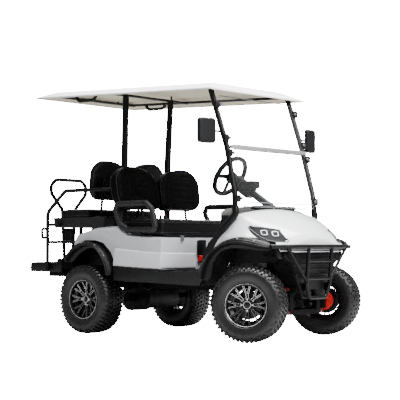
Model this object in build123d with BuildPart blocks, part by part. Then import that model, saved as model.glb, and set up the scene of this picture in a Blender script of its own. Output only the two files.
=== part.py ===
"""Lifted four-seat electric golf cart, built as separate named pieces.

Frame: millimetres, +X forwards, +Y to the cart's left, +Z up.  The origin is on
the ground, midway along and across the whole cart.  The front wheels stand
steered to the left, and every steered piece is turned about its kingpin.
"""
from build123d import *
from math import asin, cos, degrees, radians, sin, sqrt
import os

# ---------------------------------------------------------------- driving sizes
REAR_AXLE_X = -549.0            # rear axle, from the middle of the cart
WHEELBASE = 1660.0              # front kingpins ahead of the rear axle
HALF_TRACK = 574.0              # wheel centre from the middle, wheels straight
KINGPIN_OFFSET = 110.0          # kingpin inboard of the wheel centre
STEER_REST = 22.6               # front wheels at rest, degrees to the left

TYRE_RADIUS = 292.0             # 23 inch tyre, over its lugs
TYRE_HALF_WIDTH = 121.0         # 10.5 inch section on a seven inch rim
TREAD_HALF_WIDTH = 104.0
LUG_COUNT = 24                  # lugs round each shoulder
LUG_HEIGHT = 12.0
LUG_WIDTH = 36.0
LUG_INNER = 14.0                # lugs start this far from the middle of the tread
RIM_RADIUS = 152.0              # bead seat of the 12 inch rim
RIM_LIP = 165.0                 # rim lip radius
RIM_HALF_WIDTH = 102.0
RIM_WALL = 5.0
SPOKE_FACE = 52.0               # outer face of the spokes from the wheel centre
SPOKE_THICK = 16.0
HUB_RADIUS = 68.0
CAP_RADIUS = 31.0
SPOKE_COUNT = 8

SEAT_GAP = 0.3                  # gap between pieces that bear on each other

RAIL_Y = 255.0                  # middle of a main frame rail
RAIL_WIDTH = 50.0
RAIL_LOW = 380.0                # underside of the frame rails
RAIL_HIGH = 460.0
RAIL_REAR_X = -1090.0
RAIL_FRONT_X = 860.0
NOSE_RAIL_Y = 180.0             # narrower front rails, clear of the steered tyres
NOSE_RAIL_FRONT_X = 1330.0

BODY_HALF_WIDTH = 600.0         # white body panels
BODY_WALL = 5.0
HEEL_X = 270.0                  # heel panel, front of the seat pod
FLOOR_Z = 525.0                 # underside of the floor pan
FLOOR_THICK = 12.0
FLARE_HALF_WIDTH = 665.0        # outer edge of the wheel arch flares
FLARE_BAND = 52.0               # height of a flare, seen from the side
REAR_WELL_Y = 400.0             # inboard side of the wheel wells
FRONT_WELL_Y = 392.0

STRUT_RADIUS = 19.0
RAIL_TUBE = 14.0                # grab rails and guard tubes
PLATFORM_FRONT_X = -1040.0
PLATFORM_HALF_WIDTH = 465.0
PLATFORM_TOP = 597.0
PLATFORM_THICK = 85.0

CUSHION_REAR_X = -250.0         # front seat cushion, a lid hinged at its front edge
CUSHION_FRONT_X = 210.0
CUSHION_LOW = 831.0
CUSHION_THICK = 128.0
CUSHION_HALF_WIDTH = 520.0

REAR_CUSHION_REAR_X = -1100.0   # rear seat cushion, flips over about its rear edge
REAR_CUSHION_FRONT_X = -728.0
REAR_CUSHION_LOW = 995.0
REAR_CUSHION_THICK = 68.0
REAR_CUSHION_HALF_WIDTH = 440.0

REAR_BASE_LOW = 905.0            # black tray under the rear cushion
REAR_BASE_TOP = REAR_CUSHION_LOW - SEAT_GAP
REAR_BASE_WALL = 6.0
REAR_BASE_REAR_X = REAR_CUSHION_REAR_X - 85.0

ROOF_FRONT_X = 820.0
ROOF_REAR_X = -1202.0
ROOF_HALF_WIDTH = 619.0
ROOF_EDGE_Z = 2007.0            # edge height midway along
ROOF_SLOPE = 2.07               # degrees, higher at the rear
ROOF_RISE = 92.0                # crown above the edge
ROOF_WALL = 7.0
ROOF_BAR_Z = 2038.0             # middle of the frame bars under the roof, where it is level

WHEEL_X = 262.0                 # steering wheel centre, driver on the left
WHEEL_Y = 300.0
WHEEL_Z = 1345.0
WHEEL_RIM_RADIUS = 175.0
COLUMN_ANGLE = 32.0             # column below level, degrees
COLUMN_RADIUS = 30.0

FRONT_AXLE_X = REAR_AXLE_X + WHEELBASE
HUB_Z = TYRE_RADIUS
KINGPIN_Y = HALF_TRACK - KINGPIN_OFFSET
SIDES = (("left", 1), ("right", -1))
TREAD_CHAMFER = 8.0             # drop of the lugs at the shoulders

os.makedirs("parts", exist_ok=True)


def save(part, name):
    """Label one finished piece and write its file."""
    part.label = name
    export_step(part, f"parts/{name}.step")


def both_sides(part):
    """A compound of a left-hand piece and its mirror image."""
    return Compound(children=list(part.solids()) + list(mirror(part, about=Plane.XZ).solids()))


def prism(outline, low_y, high_y):
    """A closed side outline of (x, z) points, extruded from low_y to high_y."""
    with BuildPart() as made:
        with BuildSketch(Plane.XZ.offset(-high_y)):
            with BuildLine():
                Polyline(*outline, close=True)
            make_face()
        extrude(amount=high_y - low_y)
    return made.part


def plan_prism(outline, low_z, high_z):
    """A closed plan outline of (x, y) points, extruded upwards."""
    with BuildPart() as made:
        with BuildSketch(Plane.XY.offset(low_z)):
            with BuildLine():
                Polyline(*outline, close=True)
            make_face()
        extrude(amount=high_z - low_z)
    return made.part


def block(x, y, z):
    """A box between pairs of limits along each axis."""
    with BuildPart() as made:
        with Locations(((x[0] + x[1]) / 2, (y[0] + y[1]) / 2, (z[0] + z[1]) / 2)):
            Box(x[1] - x[0], y[1] - y[0], z[1] - z[0])
    return made.part


def tube(points, radius, bend):
    """A round bar along straight runs joined by arcs."""
    with BuildPart() as made:
        with BuildLine() as path:
            if len(points) > 2:
                FilletPolyline(*points, radius=bend)
            else:
                Line(*points)
        with BuildSketch(Plane(origin=path.line @ 0, z_dir=path.line % 0)):
            Circle(radius)
        sweep()
    return made.part


def fused(*pieces):
    """One body made of pieces that overlap where they are welded."""
    with BuildPart() as made:
        for piece in pieces:
            add(piece)
    return made.part


# ------------------------------------------------------------------------ wheels
def build_tyre():
    """Flat-sided carcass with a row of lugs over each shoulder; spin axis along Z, outer side towards +Z."""
    side = TYRE_HALF_WIDTH
    carcass = TYRE_RADIUS - LUG_HEIGHT
    half = ((carcass, TREAD_HALF_WIDTH - 30), (carcass - 8, TREAD_HALF_WIDTH), (TYRE_RADIUS - 45, side),
            (RIM_LIP + 45, side), (RIM_LIP + 8, RIM_HALF_WIDTH + 2))
    sections = [(radius, -z) for radius, z in reversed(half)] + list(half)
    lug_radius = sqrt(TYRE_RADIUS**2 - (LUG_WIDTH / 2)**2)
    lug_section = (
        (carcass - 10, LUG_INNER), (lug_radius, LUG_INNER), (lug_radius, TREAD_HALF_WIDTH - 30),
        (lug_radius - TREAD_CHAMFER, TREAD_HALF_WIDTH), (TYRE_RADIUS - 26, side - 2), (TYRE_RADIUS - 42, side - 2),
        (TYRE_RADIUS - 42, TREAD_HALF_WIDTH - 10),
    )
    lug_half_angle = degrees(asin(LUG_WIDTH / 2 / TYRE_RADIUS))
    step = 360 / LUG_COUNT
    with BuildPart() as lug:
        with BuildSketch(Plane.XZ.offset(-LUG_WIDTH / 2)):
            with BuildLine():
                Polyline(*lug_section, close=True)
            make_face()
        extrude(amount=LUG_WIDTH)
    with BuildPart() as tyre:
        for radius, z in sections:
            with BuildSketch(Plane.XY.offset(z)):
                RegularPolygon(radius, LUG_COUNT, major_radius=False)
        loft(ruled=True)
        for count in range(LUG_COUNT):
            low_corner = 90 - lug_half_angle + count * step
            add(lug.part, rotation=(0, 0, low_corner))
            add(mirror(lug.part, about=Plane.XY), rotation=(0, 0, low_corner + step / 2))
        with BuildSketch(Plane.XY.offset(-side)):
            RegularPolygon(RIM_LIP + SEAT_GAP, LUG_COUNT, major_radius=False)
        extrude(amount=2 * side, mode=Mode.SUBTRACT)
    return tyre.part


def build_rim():
    """Rim with its spin axis along Z: barrel, hub and split spokes."""
    lip = RIM_HALF_WIDTH
    drop = RIM_RADIUS - 22
    barrel = (
        (RIM_RADIUS, -lip + 12),
        (RIM_RADIUS, -lip + 40),
        (drop, -lip + 62),
        (drop, lip - 62),
        (RIM_RADIUS, lip - 40),
        (RIM_RADIUS, lip - 12),
        (RIM_LIP, lip - 4),
        (RIM_LIP, lip),
        (RIM_RADIUS - 2, lip),
        (RIM_RADIUS - RIM_WALL, lip - 12),
        (RIM_RADIUS - RIM_WALL, lip - 38),
        (drop - RIM_WALL, lip - 60),
        (drop - RIM_WALL, -lip + 60),
        (RIM_RADIUS - RIM_WALL, -lip + 38),
        (RIM_RADIUS - RIM_WALL, -lip + 8),
        (RIM_LIP, -lip),
        (RIM_LIP, -lip + 4),
    )
    face = SPOKE_FACE
    with BuildPart() as rim:
        with BuildSketch(Plane.XZ):
            with BuildLine():
                Polyline(*barrel, close=True)
            make_face()
        revolve(axis=Axis.Z)
        with BuildSketch(Plane.XY.offset(face - SPOKE_THICK)):
            with PolarLocations(0, SPOKE_COUNT):
                for turn in (-1, 1):
                    with BuildLine():
                        Polyline(
                            (HUB_RADIUS - 14, -9 * turn),
                            (HUB_RADIUS - 14, 7 * turn),
                            (HUB_RADIUS + 20, 8 * turn),
                            (drop + 1, 33 * turn),
                            (drop + 1, 19 * turn),
                            (HUB_RADIUS + 22, -7 * turn),
                            close=True,
                        )
                    make_face()
        extrude(amount=SPOKE_THICK)
        with BuildSketch(Plane.XY.offset(face - SPOKE_THICK - 8)):
            Circle(HUB_RADIUS)
        extrude(amount=SPOKE_THICK + 4)
        with BuildSketch(Plane.XY.offset(face - 5)):
            Circle(CAP_RADIUS)
        extrude(amount=24, taper=6)
    return rim.part


def wheel_plane(axle_x, side):
    """The straight-ahead wheel's centre, with Z pointing out of the cart."""
    return Plane(origin=(axle_x, side * HALF_TRACK, HUB_Z), x_dir=(1, 0, 0), z_dir=(0, side, 0))


def steered(part, side):
    """Turn a piece about its own kingpin to the rest steering angle."""
    kingpin = Axis((FRONT_AXLE_X, side * KINGPIN_Y, 0), (0, 0, 1))
    return part.rotate(kingpin, STEER_REST)


tyre_form = build_tyre()
rim_form = build_rim()
for side_name, side in SIDES:
    for end_name, axle_x in (("front", FRONT_AXLE_X), ("rear", REAR_AXLE_X)):
        place = wheel_plane(axle_x, side).location
        for kind, form in (("tyre", tyre_form), ("rim", rim_form)):
            placed = form.moved(place)
            if end_name == "front":
                placed = steered(placed, side)
            save(placed, f"{kind}_{end_name}_{side_name}")
            if (kind, end_name, side_name) == ("tyre", "front", "right"):
                front_reach = placed.bounding_box().max.X
# the steered right-hand front tyre reaches furthest forward, and the platform as far back
PLATFORM_REAR_X = -front_reach

# -------------------------------------------------------------------------- frame
NOSE_LOW = 200.0                # lower front rails carry the wishbone pivots
NOSE_POST = 40.0                # posts between the upper and lower front rails
NOSE_BACK_X = FRONT_AXLE_X - 180.0
NOSE_AHEAD_X = FRONT_AXLE_X + 160.0
nose_rail = (NOSE_RAIL_Y - RAIL_WIDTH / 2, NOSE_RAIL_Y + RAIL_WIDTH / 2)
main_rail = (RAIL_Y - RAIL_WIDTH / 2, RAIL_Y + RAIL_WIDTH / 2)
TOWER_TOP = 640.0
TOWER_Y = 232.0
TOWER_PLATE = 14.0              # plate the shock's upper eye hangs under
REAR_SHOCK_X = REAR_AXLE_X - 110.0
PLATFORM_LOW = PLATFORM_TOP - PLATFORM_THICK

platform_seat = PLATFORM_LOW - SEAT_GAP
BEARER_DEPTH = 45.0
RISER_X = RAIL_REAR_X - 30
plate_low = TOWER_TOP - TOWER_PLATE
front_tower_x = (FRONT_AXLE_X - 20, FRONT_AXLE_X + 20)
rear_tower_x = (REAR_SHOCK_X - 20, REAR_SHOCK_X + 20)
# every rail, post and plate of one side, meeting its neighbours face to face
side_blocks = [
    ((RAIL_REAR_X, RAIL_FRONT_X), main_rail, (RAIL_LOW, RAIL_HIGH)),
    ((RAIL_FRONT_X, NOSE_RAIL_FRONT_X), nose_rail, (RAIL_LOW, RAIL_HIGH)),
    ((NOSE_BACK_X, NOSE_AHEAD_X), nose_rail, (NOSE_LOW, NOSE_LOW + NOSE_POST)),
    ((NOSE_BACK_X, NOSE_BACK_X + NOSE_POST), nose_rail, (NOSE_LOW + NOSE_POST, RAIL_LOW)),
    ((NOSE_AHEAD_X - NOSE_POST, NOSE_AHEAD_X), nose_rail, (NOSE_LOW + NOSE_POST, RAIL_LOW)),
    (front_tower_x, (nose_rail[0], TOWER_Y), (RAIL_HIGH, plate_low)),
    (front_tower_x, (nose_rail[0], TOWER_Y + 56), (plate_low, TOWER_TOP)),
    (rear_tower_x, main_rail, (RAIL_HIGH, plate_low)),
    (rear_tower_x, (main_rail[0], main_rail[1] + 70), (plate_low, TOWER_TOP)),
    ((RAIL_REAR_X, RAIL_REAR_X + 50), main_rail, (RAIL_HIGH, platform_seat)),
    ((RISER_X, RAIL_REAR_X), main_rail, (RAIL_LOW, platform_seat)),
    ((PLATFORM_REAR_X + 60, RISER_X), main_rail, (platform_seat - BEARER_DEPTH, platform_seat)),
    ((300, 340), main_rail, (RAIL_HIGH, FLOOR_Z - SEAT_GAP)),
    ((700, 740), main_rail, (RAIL_HIGH, FLOOR_Z - SEAT_GAP)),
]
cross_y = (-main_rail[0], main_rail[0])
nose_cross_y = (-nose_rail[0], nose_rail[0])
cross_blocks = [
    ((RAIL_REAR_X, RAIL_REAR_X + 50), cross_y, (RAIL_LOW, RAIL_HIGH)),
    ((REAR_AXLE_X - 330, REAR_AXLE_X - 280), cross_y, (RAIL_LOW, RAIL_HIGH)),
    ((REAR_AXLE_X + 290, REAR_AXLE_X + 340), cross_y, (RAIL_LOW, RAIL_HIGH)),
    ((120, 170), cross_y, (RAIL_LOW, RAIL_HIGH)),
    ((RAIL_FRONT_X - 60, RAIL_FRONT_X), cross_y, (RAIL_LOW, RAIL_HIGH)),
    ((NOSE_RAIL_FRONT_X - 50, NOSE_RAIL_FRONT_X), nose_cross_y, (RAIL_LOW, RAIL_HIGH)),
    ((NOSE_BACK_X, NOSE_BACK_X + NOSE_POST), nose_cross_y, (NOSE_LOW, NOSE_LOW + NOSE_POST)),
    ((NOSE_AHEAD_X - NOSE_POST, NOSE_AHEAD_X), nose_cross_y, (NOSE_LOW, NOSE_LOW + NOSE_POST)),
]
EYE_RADIUS = 14.0               # tow eye under the nose, for an upright pin
EYE_REACH = 48.0
EYE_WIDTH = 60.0
EYE_AHEAD = 22.0                # bore centre in front of the nose cross member
EYE_THICK = 12.0
with BuildPart() as tow_eye:
    with BuildSketch(Plane.XY.offset(RAIL_LOW)):
        with Locations((NOSE_RAIL_FRONT_X + EYE_REACH / 2, 0)):
            Rectangle(EYE_REACH, EYE_WIDTH)
        with Locations((NOSE_RAIL_FRONT_X + EYE_AHEAD, 0)):
            Circle(EYE_RADIUS, mode=Mode.SUBTRACT)
    extrude(amount=EYE_THICK)
rails = [block(*limits) for limits in side_blocks]
rails += [mirror(rail, about=Plane.XZ) for rail in rails]
rails += [block(*limits) for limits in cross_blocks] + [tow_eye.part]
save(Compound(children=[solid for rail in rails for solid in rail.solids()]), "frame")
save(block((-190, 160), (-300, 300), (RAIL_HIGH + SEAT_GAP, 760)), "battery")

# ------------------------------------------------------------- front suspension
ARM_LOW_Z = HUB_Z - 78
ARM_HIGH_Z = HUB_Z + 78
ARM_TUBE = 13.0
ARM_TIP_Y = KINGPIN_Y - 6
ARM_ROOT_Y = NOSE_RAIL_Y + RAIL_WIDTH / 2 + SEAT_GAP


SHOCK_X = FRONT_AXLE_X
SHOCK_EYE = 16.0
SHOCK_FOOT_Y = 345.0
shock_eye_z = TOWER_TOP - TOWER_PLATE - SHOCK_EYE - SEAT_GAP
shock_foot = (SHOCK_X, SHOCK_FOOT_Y, ARM_LOW_Z + 3 + ARM_TUBE + SHOCK_EYE + SEAT_GAP)
shock_head = (SHOCK_X, TOWER_Y + 32, shock_eye_z)


def wishbone(z, root_z):
    """One A-shaped arm from the front rails out to the kingpin."""
    tip = (FRONT_AXLE_X, ARM_TIP_Y - 14, z)
    roots = [(FRONT_AXLE_X + dx, ARM_ROOT_Y + 14, root_z) for dx in (-135, 135)]
    legs = [tube((root, tip), ARM_TUBE, 0) for root in roots]
    bushes = [tube(((root[0] - 24, root[1], root_z), (root[0] + 24, root[1], root_z)), 14, 0) for root in roots]
    share = (SHOCK_FOOT_Y - roots[0][1]) / (tip[1] - roots[0][1])
    bar = [(FRONT_AXLE_X + dx * (1 - share), SHOCK_FOOT_Y, root_z + (z - root_z) * share) for dx in (-135, 135)]
    with BuildPart() as eye:
        with Locations((FRONT_AXLE_X, ARM_TIP_Y - 8, z)):
            Cylinder(20, 30)
    braces = [tube(bar, ARM_TUBE, 0)] if z < HUB_Z else []
    return fused(*legs, *bushes, *braces, eye.part)


lower_arm = wishbone(ARM_LOW_Z, NOSE_LOW + 20)
upper_arm = wishbone(ARM_HIGH_Z, RAIL_LOW + 22)
save(Compound(children=[solid for arm in (lower_arm, upper_arm) for solid in both_sides(arm).solids()]),
     "front_arms")

def coil_over(foot, head, coil_radius, turns):
    """A damper with a plain spring sleeve between two seats."""
    pieces = [tube((foot, head), 13, 0)]
    for x, y, z in (foot, head):
        pieces.append(tube(((x - 17, y, z), (x + 17, y, z)), SHOCK_EYE, 0))
    span = [head[i] - foot[i] for i in range(3)]
    for low, high, radius in ((0.16, 0.2, coil_radius + 5), (0.84, 0.88, coil_radius + 5)):
        ends = [tuple(foot[i] + span[i] * share for i in range(3)) for share in (low, high)]
        pieces.append(tube(ends, radius, 0))
    for turn in range(turns):
        share = 0.2 + 0.64 * (turn + 0.5) / turns
        ends = [tuple(foot[i] + span[i] * (share + step) for i in range(3)) for step in (-0.022, 0.022)]
        pieces.append(tube(ends, coil_radius, 0))
    return fused(*pieces)


save(both_sides(coil_over(shock_foot, shock_head, 30, 6)), "front_shocks")

# knuckles, steered with the wheels
KNUCKLE_ARM = 110.0
BRAKE_RADIUS = 80.0
for side_name, side in SIDES:
    king_y = side * KINGPIN_Y
    with BuildPart() as knuckle:
        with Locations((FRONT_AXLE_X, king_y + side * 6, HUB_Z)):
            Box(50, 36, 2 * (ARM_HIGH_Z - HUB_Z) - 30 - 2 * SEAT_GAP)
        with BuildSketch(Plane.XZ.offset(-king_y - side * 20)):
            with Locations((FRONT_AXLE_X, HUB_Z)):
                Circle(28)
        extrude(amount=-side * (KINGPIN_OFFSET + SPOKE_FACE - SPOKE_THICK - 8 - 20 - SEAT_GAP))
        with Locations((FRONT_AXLE_X - KNUCKLE_ARM / 2, king_y - side * 8, HUB_Z - 12)):
            Box(KNUCKLE_ARM + 20, 18, 14)
    save(steered(knuckle.part, side), f"knuckle_{side_name}")
    with BuildPart() as caliper:
        with BuildSketch(Plane.XZ.offset(-king_y - side * 36)):
            with Locations((FRONT_AXLE_X, HUB_Z)):
                Circle(BRAKE_RADIUS)
                Circle(28 + SEAT_GAP, mode=Mode.SUBTRACT)
        extrude(amount=-side * 34)
    save(steered(caliper.part, side), f"brake_{side_name}")

# steering rack bar and its fixed housing
RACK_X = FRONT_AXLE_X - KNUCKLE_ARM * cos(radians(STEER_REST))
RACK_Z = HUB_Z + 16
RACK_END_Y = KINGPIN_Y - 30
rack_shift = -KNUCKLE_ARM * sin(radians(STEER_REST))
rack_bar = tube(((RACK_X, -RACK_END_Y + rack_shift, RACK_Z), (RACK_X, RACK_END_Y + rack_shift, RACK_Z)), 9, 0)
save(rack_bar, "rack_bar")
with BuildPart() as rack_housing:
    with BuildSketch(Plane.XZ.offset(-190)):
        with Locations((RACK_X, RACK_Z)):
            Circle(26)
            Circle(9 + SEAT_GAP, mode=Mode.SUBTRACT)
    extrude(amount=380)
    for y in (-170, 170):
        with Locations((RACK_X, y, (RACK_Z + 24 + RAIL_LOW - SEAT_GAP) / 2)):
            Box(26, 24, RAIL_LOW - RACK_Z - 24 - SEAT_GAP)
save(rack_housing.part, "rack_housing")

# --------------------------------------------------------------- rear suspension
AXLE_TUBE = 38.0
MOTOR_RADIUS = 86.0
axle_end = HALF_TRACK + SPOKE_FACE - SPOKE_THICK - 8 - SEAT_GAP
with BuildPart() as rear_axle:
    with BuildSketch(Plane.XZ.offset(-430)):
        with Locations((REAR_AXLE_X, HUB_Z)):
            Circle(AXLE_TUBE)
    extrude(amount=860)
    with BuildSketch(Plane.XZ.offset(-axle_end)):
        with Locations((REAR_AXLE_X, HUB_Z)):
            Circle(22)
    extrude(amount=2 * axle_end)
    with BuildSketch(Plane.XZ.offset(-90)):
        with Locations((REAR_AXLE_X, HUB_Z)):
            Circle(118)
    extrude(amount=180)
    with BuildSketch(Plane.XZ.offset(-290)):
        with Locations((REAR_AXLE_X + 150, HUB_Z - 10)):
            Circle(MOTOR_RADIUS)
    extrude(amount=380)
save(rear_axle.part, "rear_axle")

SPRING_Y = 345.0
SPRING_WIDTH = 45.0
spring_y = (SPRING_Y - SPRING_WIDTH / 2, SPRING_Y + SPRING_WIDTH / 2)
spring_base = HUB_Z + AXLE_TUBE + SEAT_GAP
with BuildPart() as leaf_spring:
    with BuildSketch(Plane.XZ.offset(-spring_y[1])):
        for reach, drop in ((360, 0), (250, 8), (150, 16)):
            with BuildLine():
                ThreePointArc((REAR_AXLE_X - reach, spring_base + 62 - drop + (360 - reach) * -0.09),
                              (REAR_AXLE_X, spring_base + 24 - drop),
                              (REAR_AXLE_X + reach, spring_base + 62 - drop + (360 - reach) * -0.09))
                Line((REAR_AXLE_X + reach, spring_base + 62 - drop + (360 - reach) * -0.09),
                     (REAR_AXLE_X + reach, spring_base + 70 - drop + (360 - reach) * -0.09))
                ThreePointArc((REAR_AXLE_X + reach, spring_base + 70 - drop + (360 - reach) * -0.09),
                              (REAR_AXLE_X, spring_base + 32 - drop),
                              (REAR_AXLE_X - reach, spring_base + 70 - drop + (360 - reach) * -0.09))
                Line((REAR_AXLE_X - reach, spring_base + 70 - drop + (360 - reach) * -0.09),
                     (REAR_AXLE_X - reach, spring_base + 62 - drop + (360 - reach) * -0.09))
            make_face()
    extrude(amount=SPRING_WIDTH)
    with Locations((REAR_AXLE_X, SPRING_Y, spring_base + 4)):
        Box(90, 60, 8)
spring_end_z = spring_base + 66
hangers = [
    block((REAR_AXLE_X + dx - 16, REAR_AXLE_X + dx + 16), (main_rail[1] + SEAT_GAP, spring_y[1]),
          (spring_end_z - 14, RAIL_HIGH))
    for dx in (-360, 360)
]
save(both_sides(fused(leaf_spring.part, *hangers)), "leaf_springs")
rear_shock = coil_over((REAR_AXLE_X, 400.0, HUB_Z + AXLE_TUBE + SHOCK_EYE + SEAT_GAP),
                       (REAR_SHOCK_X, 325.0, shock_eye_z), 24, 4)
save(both_sides(rear_shock), "rear_shocks")

# --------------------------------------------------------------------- rear body
rear_arch = (
    (-800, 200), (-792, 655), (-700, 750), (-600, 790), (-480, 790),
    (-385, 768), (-299, 694), (-247, 604), (-240, 200),
)
body_outline = (
    (-730, 560), (-730, 797), (-698, 841), (-596, 867), (-458, 896), (-218, 907),
    (-160, 862), (-91, 833), (54, 818), (HEEL_X, 810), (HEEL_X, 548), (-260, 572),
)


def inset(outline, amount):
    """The same outline, moved inwards by a wall thickness."""
    with BuildSketch() as sketch:
        with BuildLine():
            Polyline(*outline, close=True)
        make_face()
        offset(amount=-amount, kind=Kind.INTERSECTION)
    return sketch.sketch


with BuildPart() as rear_body:
    add(prism(body_outline, -BODY_HALF_WIDTH, BODY_HALF_WIDTH))
    long_edges = rear_body.edges().filter_by(Axis.Y, reverse=True).group_by(Axis.Y)
    fillet([edge for edge in long_edges[0] + long_edges[-1] if edge.center().Z > 700], 22)
    with BuildSketch(Plane.XZ.offset(-(BODY_HALF_WIDTH - BODY_WALL))):
        add(inset(body_outline, BODY_WALL))
    extrude(amount=2 * (BODY_HALF_WIDTH - BODY_WALL), mode=Mode.SUBTRACT)
    add(prism(((-725, 500), (-725, 620), (HEEL_X - BODY_WALL, 620), (HEEL_X - BODY_WALL, 500)),
              -BODY_HALF_WIDTH + BODY_WALL, BODY_HALF_WIDTH - BODY_WALL), mode=Mode.SUBTRACT)
    add(prism(rear_arch, -BODY_HALF_WIDTH - 1, -REAR_WELL_Y), mode=Mode.SUBTRACT)
    add(prism(rear_arch, REAR_WELL_Y, BODY_HALF_WIDTH + 1), mode=Mode.SUBTRACT)
    add(block((CUSHION_REAR_X - 12, HEEL_X + 1), (-CUSHION_HALF_WIDTH - 8, CUSHION_HALF_WIDTH + 8),
              (CUSHION_LOW - SEAT_GAP, 960)), mode=Mode.SUBTRACT)
    add(block((-200, 170), (-440, 440), (790, 900)), mode=Mode.SUBTRACT)
save(rear_body.part, "rear_body")

# -------------------------------------------------------------------- front cowl
COWL_REAR_X = 990.0             # top rear edge of the cowl, under the windshield
front_arch = (
    (650, 200), (700, 430), (735, 480), (782, 559), (847, 678), (900, 722), (962, 757),
    (1076, 801), (1175, 805), (1297, 785), (1332, 745), (1345, 690), (1345, 200),
)
# section x, low half width and height, belt half width and height,
# shoulder half width and height, crown height
cowl_sections = (
    (690, 598, 540, 600, 800, 505, 1000, 1050),
    (990, 592, 560, 596, 800, 498, 985, 1038),
    (1180, 556, 640, 560, 790, 442, 893, 962),
    (1310, 468, 690, 476, 752, 352, 815, 878),
    (1384, 300, 692, 310, 735, 205, 765, 796),
)


def cowl_form(wall):
    """The cowl's outer form, or the hollow that leaves this wall."""
    with BuildPart() as form:
        for x, low_y, low_z, belt_y, belt_z, top_y, top_z, crown_z in cowl_sections:
            x_here = x
            if wall and x == cowl_sections[-1][0]:
                x_here = x - wall
            if wall and x == cowl_sections[0][0]:
                x_here = x - 1
            floor_z = low_z - 1 if wall else low_z
            with BuildSketch(Plane.YZ.offset(x_here)):
                with BuildLine():
                    Polyline((top_y - wall, top_z - wall), (belt_y - wall, belt_z - wall / 2),
                             (low_y - wall, floor_z), (-low_y + wall, floor_z),
                             (-belt_y + wall, belt_z - wall / 2), (-top_y + wall, top_z - wall))
                    ThreePointArc((-top_y + wall, top_z - wall), (0, crown_z - wall), (top_y - wall, top_z - wall))
                make_face()
        loft()
    return form.part


lamp_outline = (
    (1098, 893), (1180, 889), (1262, 868), (1345, 787), (1336, 771), (1262, 774), (1195, 808), (1132, 852),
)
cowl_edge = ((690, 541), (712, 588), (790, 678), (841, 748), (892, 818), (932, 864), (COWL_REAR_X, 948))
trim_edge = ((COWL_REAR_X - 20, 990), (936, 975), (877, 880), (821, 818), (770, 764), (729, 693), (703, 630), (688, 560),
             (686, 541))
cowl_rear_line = ((600, 400), (690, 400), *cowl_edge, (COWL_REAR_X, 1200), (600, 1200))
cowl_outside = cowl_form(0)
cowl_hollow = cowl_form(BODY_WALL)
with BuildPart() as front_cowl:
    add(cowl_outside)
    add(cowl_hollow, mode=Mode.SUBTRACT)
    add(prism(cowl_rear_line, -700, 700), mode=Mode.SUBTRACT)
    add(block((600, 1000), (-700, 700), (300, 540)), mode=Mode.SUBTRACT)
    for low_y, high_y in ((-700, -FRONT_WELL_Y), (FRONT_WELL_Y, 700)):
        add(prism(front_arch, low_y, high_y), mode=Mode.SUBTRACT)
    for low_y, high_y in ((-600, -180), (180, 600)):
        add(prism(lamp_outline, low_y, high_y), mode=Mode.SUBTRACT)
save(front_cowl.part, "front_cowl")
with BuildPart() as cowl_trim:
    add(cowl_outside)
    add(cowl_hollow, mode=Mode.SUBTRACT)
    with BuildSketch(Plane.XZ.offset(-600)):
        add(inset((*cowl_edge, *trim_edge), SEAT_GAP))
    extrude(amount=140, mode=Mode.INTERSECT)
    add(prism(front_arch, 300, 700), mode=Mode.SUBTRACT)
save(both_sides(cowl_trim.part), "cowl_trim")
with BuildPart() as lamp:
    add(cowl_form(-3))
    add(cowl_form(9), mode=Mode.SUBTRACT)
    with BuildSketch(Plane.XZ.offset(-600)):
        add(inset(lamp_outline, SEAT_GAP))
    extrude(amount=420, mode=Mode.INTERSECT)
save(both_sides(lamp.part), "headlamps")

# ------------------------------------------------------------------------ flares


def arch_band(arch, trim_low):
    """Closed outline of the band between an arch edge and its inner copy."""
    with BuildSketch() as band:
        with BuildLine():
            Polyline(*arch, close=True)
        make_face()
        offset(amount=-SEAT_GAP, kind=Kind.INTERSECTION)
        outer = band.sketch
        inner = offset(outer, amount=-FLARE_BAND, kind=Kind.INTERSECTION, mode=Mode.PRIVATE)
        add(inner, mode=Mode.SUBTRACT)
        with Locations((0, trim_low - 500)):
            Rectangle(6000, 1000, mode=Mode.SUBTRACT)
    return band.sketch


def flare_piece(arch, trim_low, plan):
    """One left-hand flare: the band, trimmed by its plan outline."""
    with BuildPart() as made:
        with BuildSketch(Plane.XZ.offset(-FLARE_HALF_WIDTH)):
            add(arch_band(arch, trim_low))
        extrude(amount=FLARE_HALF_WIDTH - 300)
        add(plan_prism(plan, 300, 1000), mode=Mode.INTERSECT)
    return made.part


FLARE_INNER = FLARE_HALF_WIDTH - 85.0
FLARE_TAPER = FLARE_HALF_WIDTH - 20.0
REAR_FLARE_LOW = (560.0, 484.0)  # behind and ahead of the rear tyre
FRONT_FLARE_LOW = 430.0
rear_plan = ((-830, FLARE_INNER), (-830, FLARE_TAPER), (-740, FLARE_HALF_WIDTH), (-300, FLARE_HALF_WIDTH),
             (-200, FLARE_TAPER), (-200, FLARE_INNER))
front_plan = ((690, FLARE_INNER), (690, FLARE_TAPER), (800, FLARE_HALF_WIDTH), (1180, FLARE_HALF_WIDTH),
              (1290, FLARE_HALF_WIDTH - 60), (1290, FLARE_INNER - 75), (1180, FLARE_INNER - 25), (1000, FLARE_INNER))
with BuildPart() as rear_flare:
    add(flare_piece(rear_arch, REAR_FLARE_LOW[1], rear_plan))
    add(block((-900, REAR_AXLE_X), (500, 700), (400, REAR_FLARE_LOW[0])), mode=Mode.SUBTRACT)
front_flare = flare_piece(front_arch, FRONT_FLARE_LOW, front_plan)
save(both_sides(rear_flare.part), "rear_flares")
save(both_sides(front_flare), "front_flares")

LINER_WALL = 4.0


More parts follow.
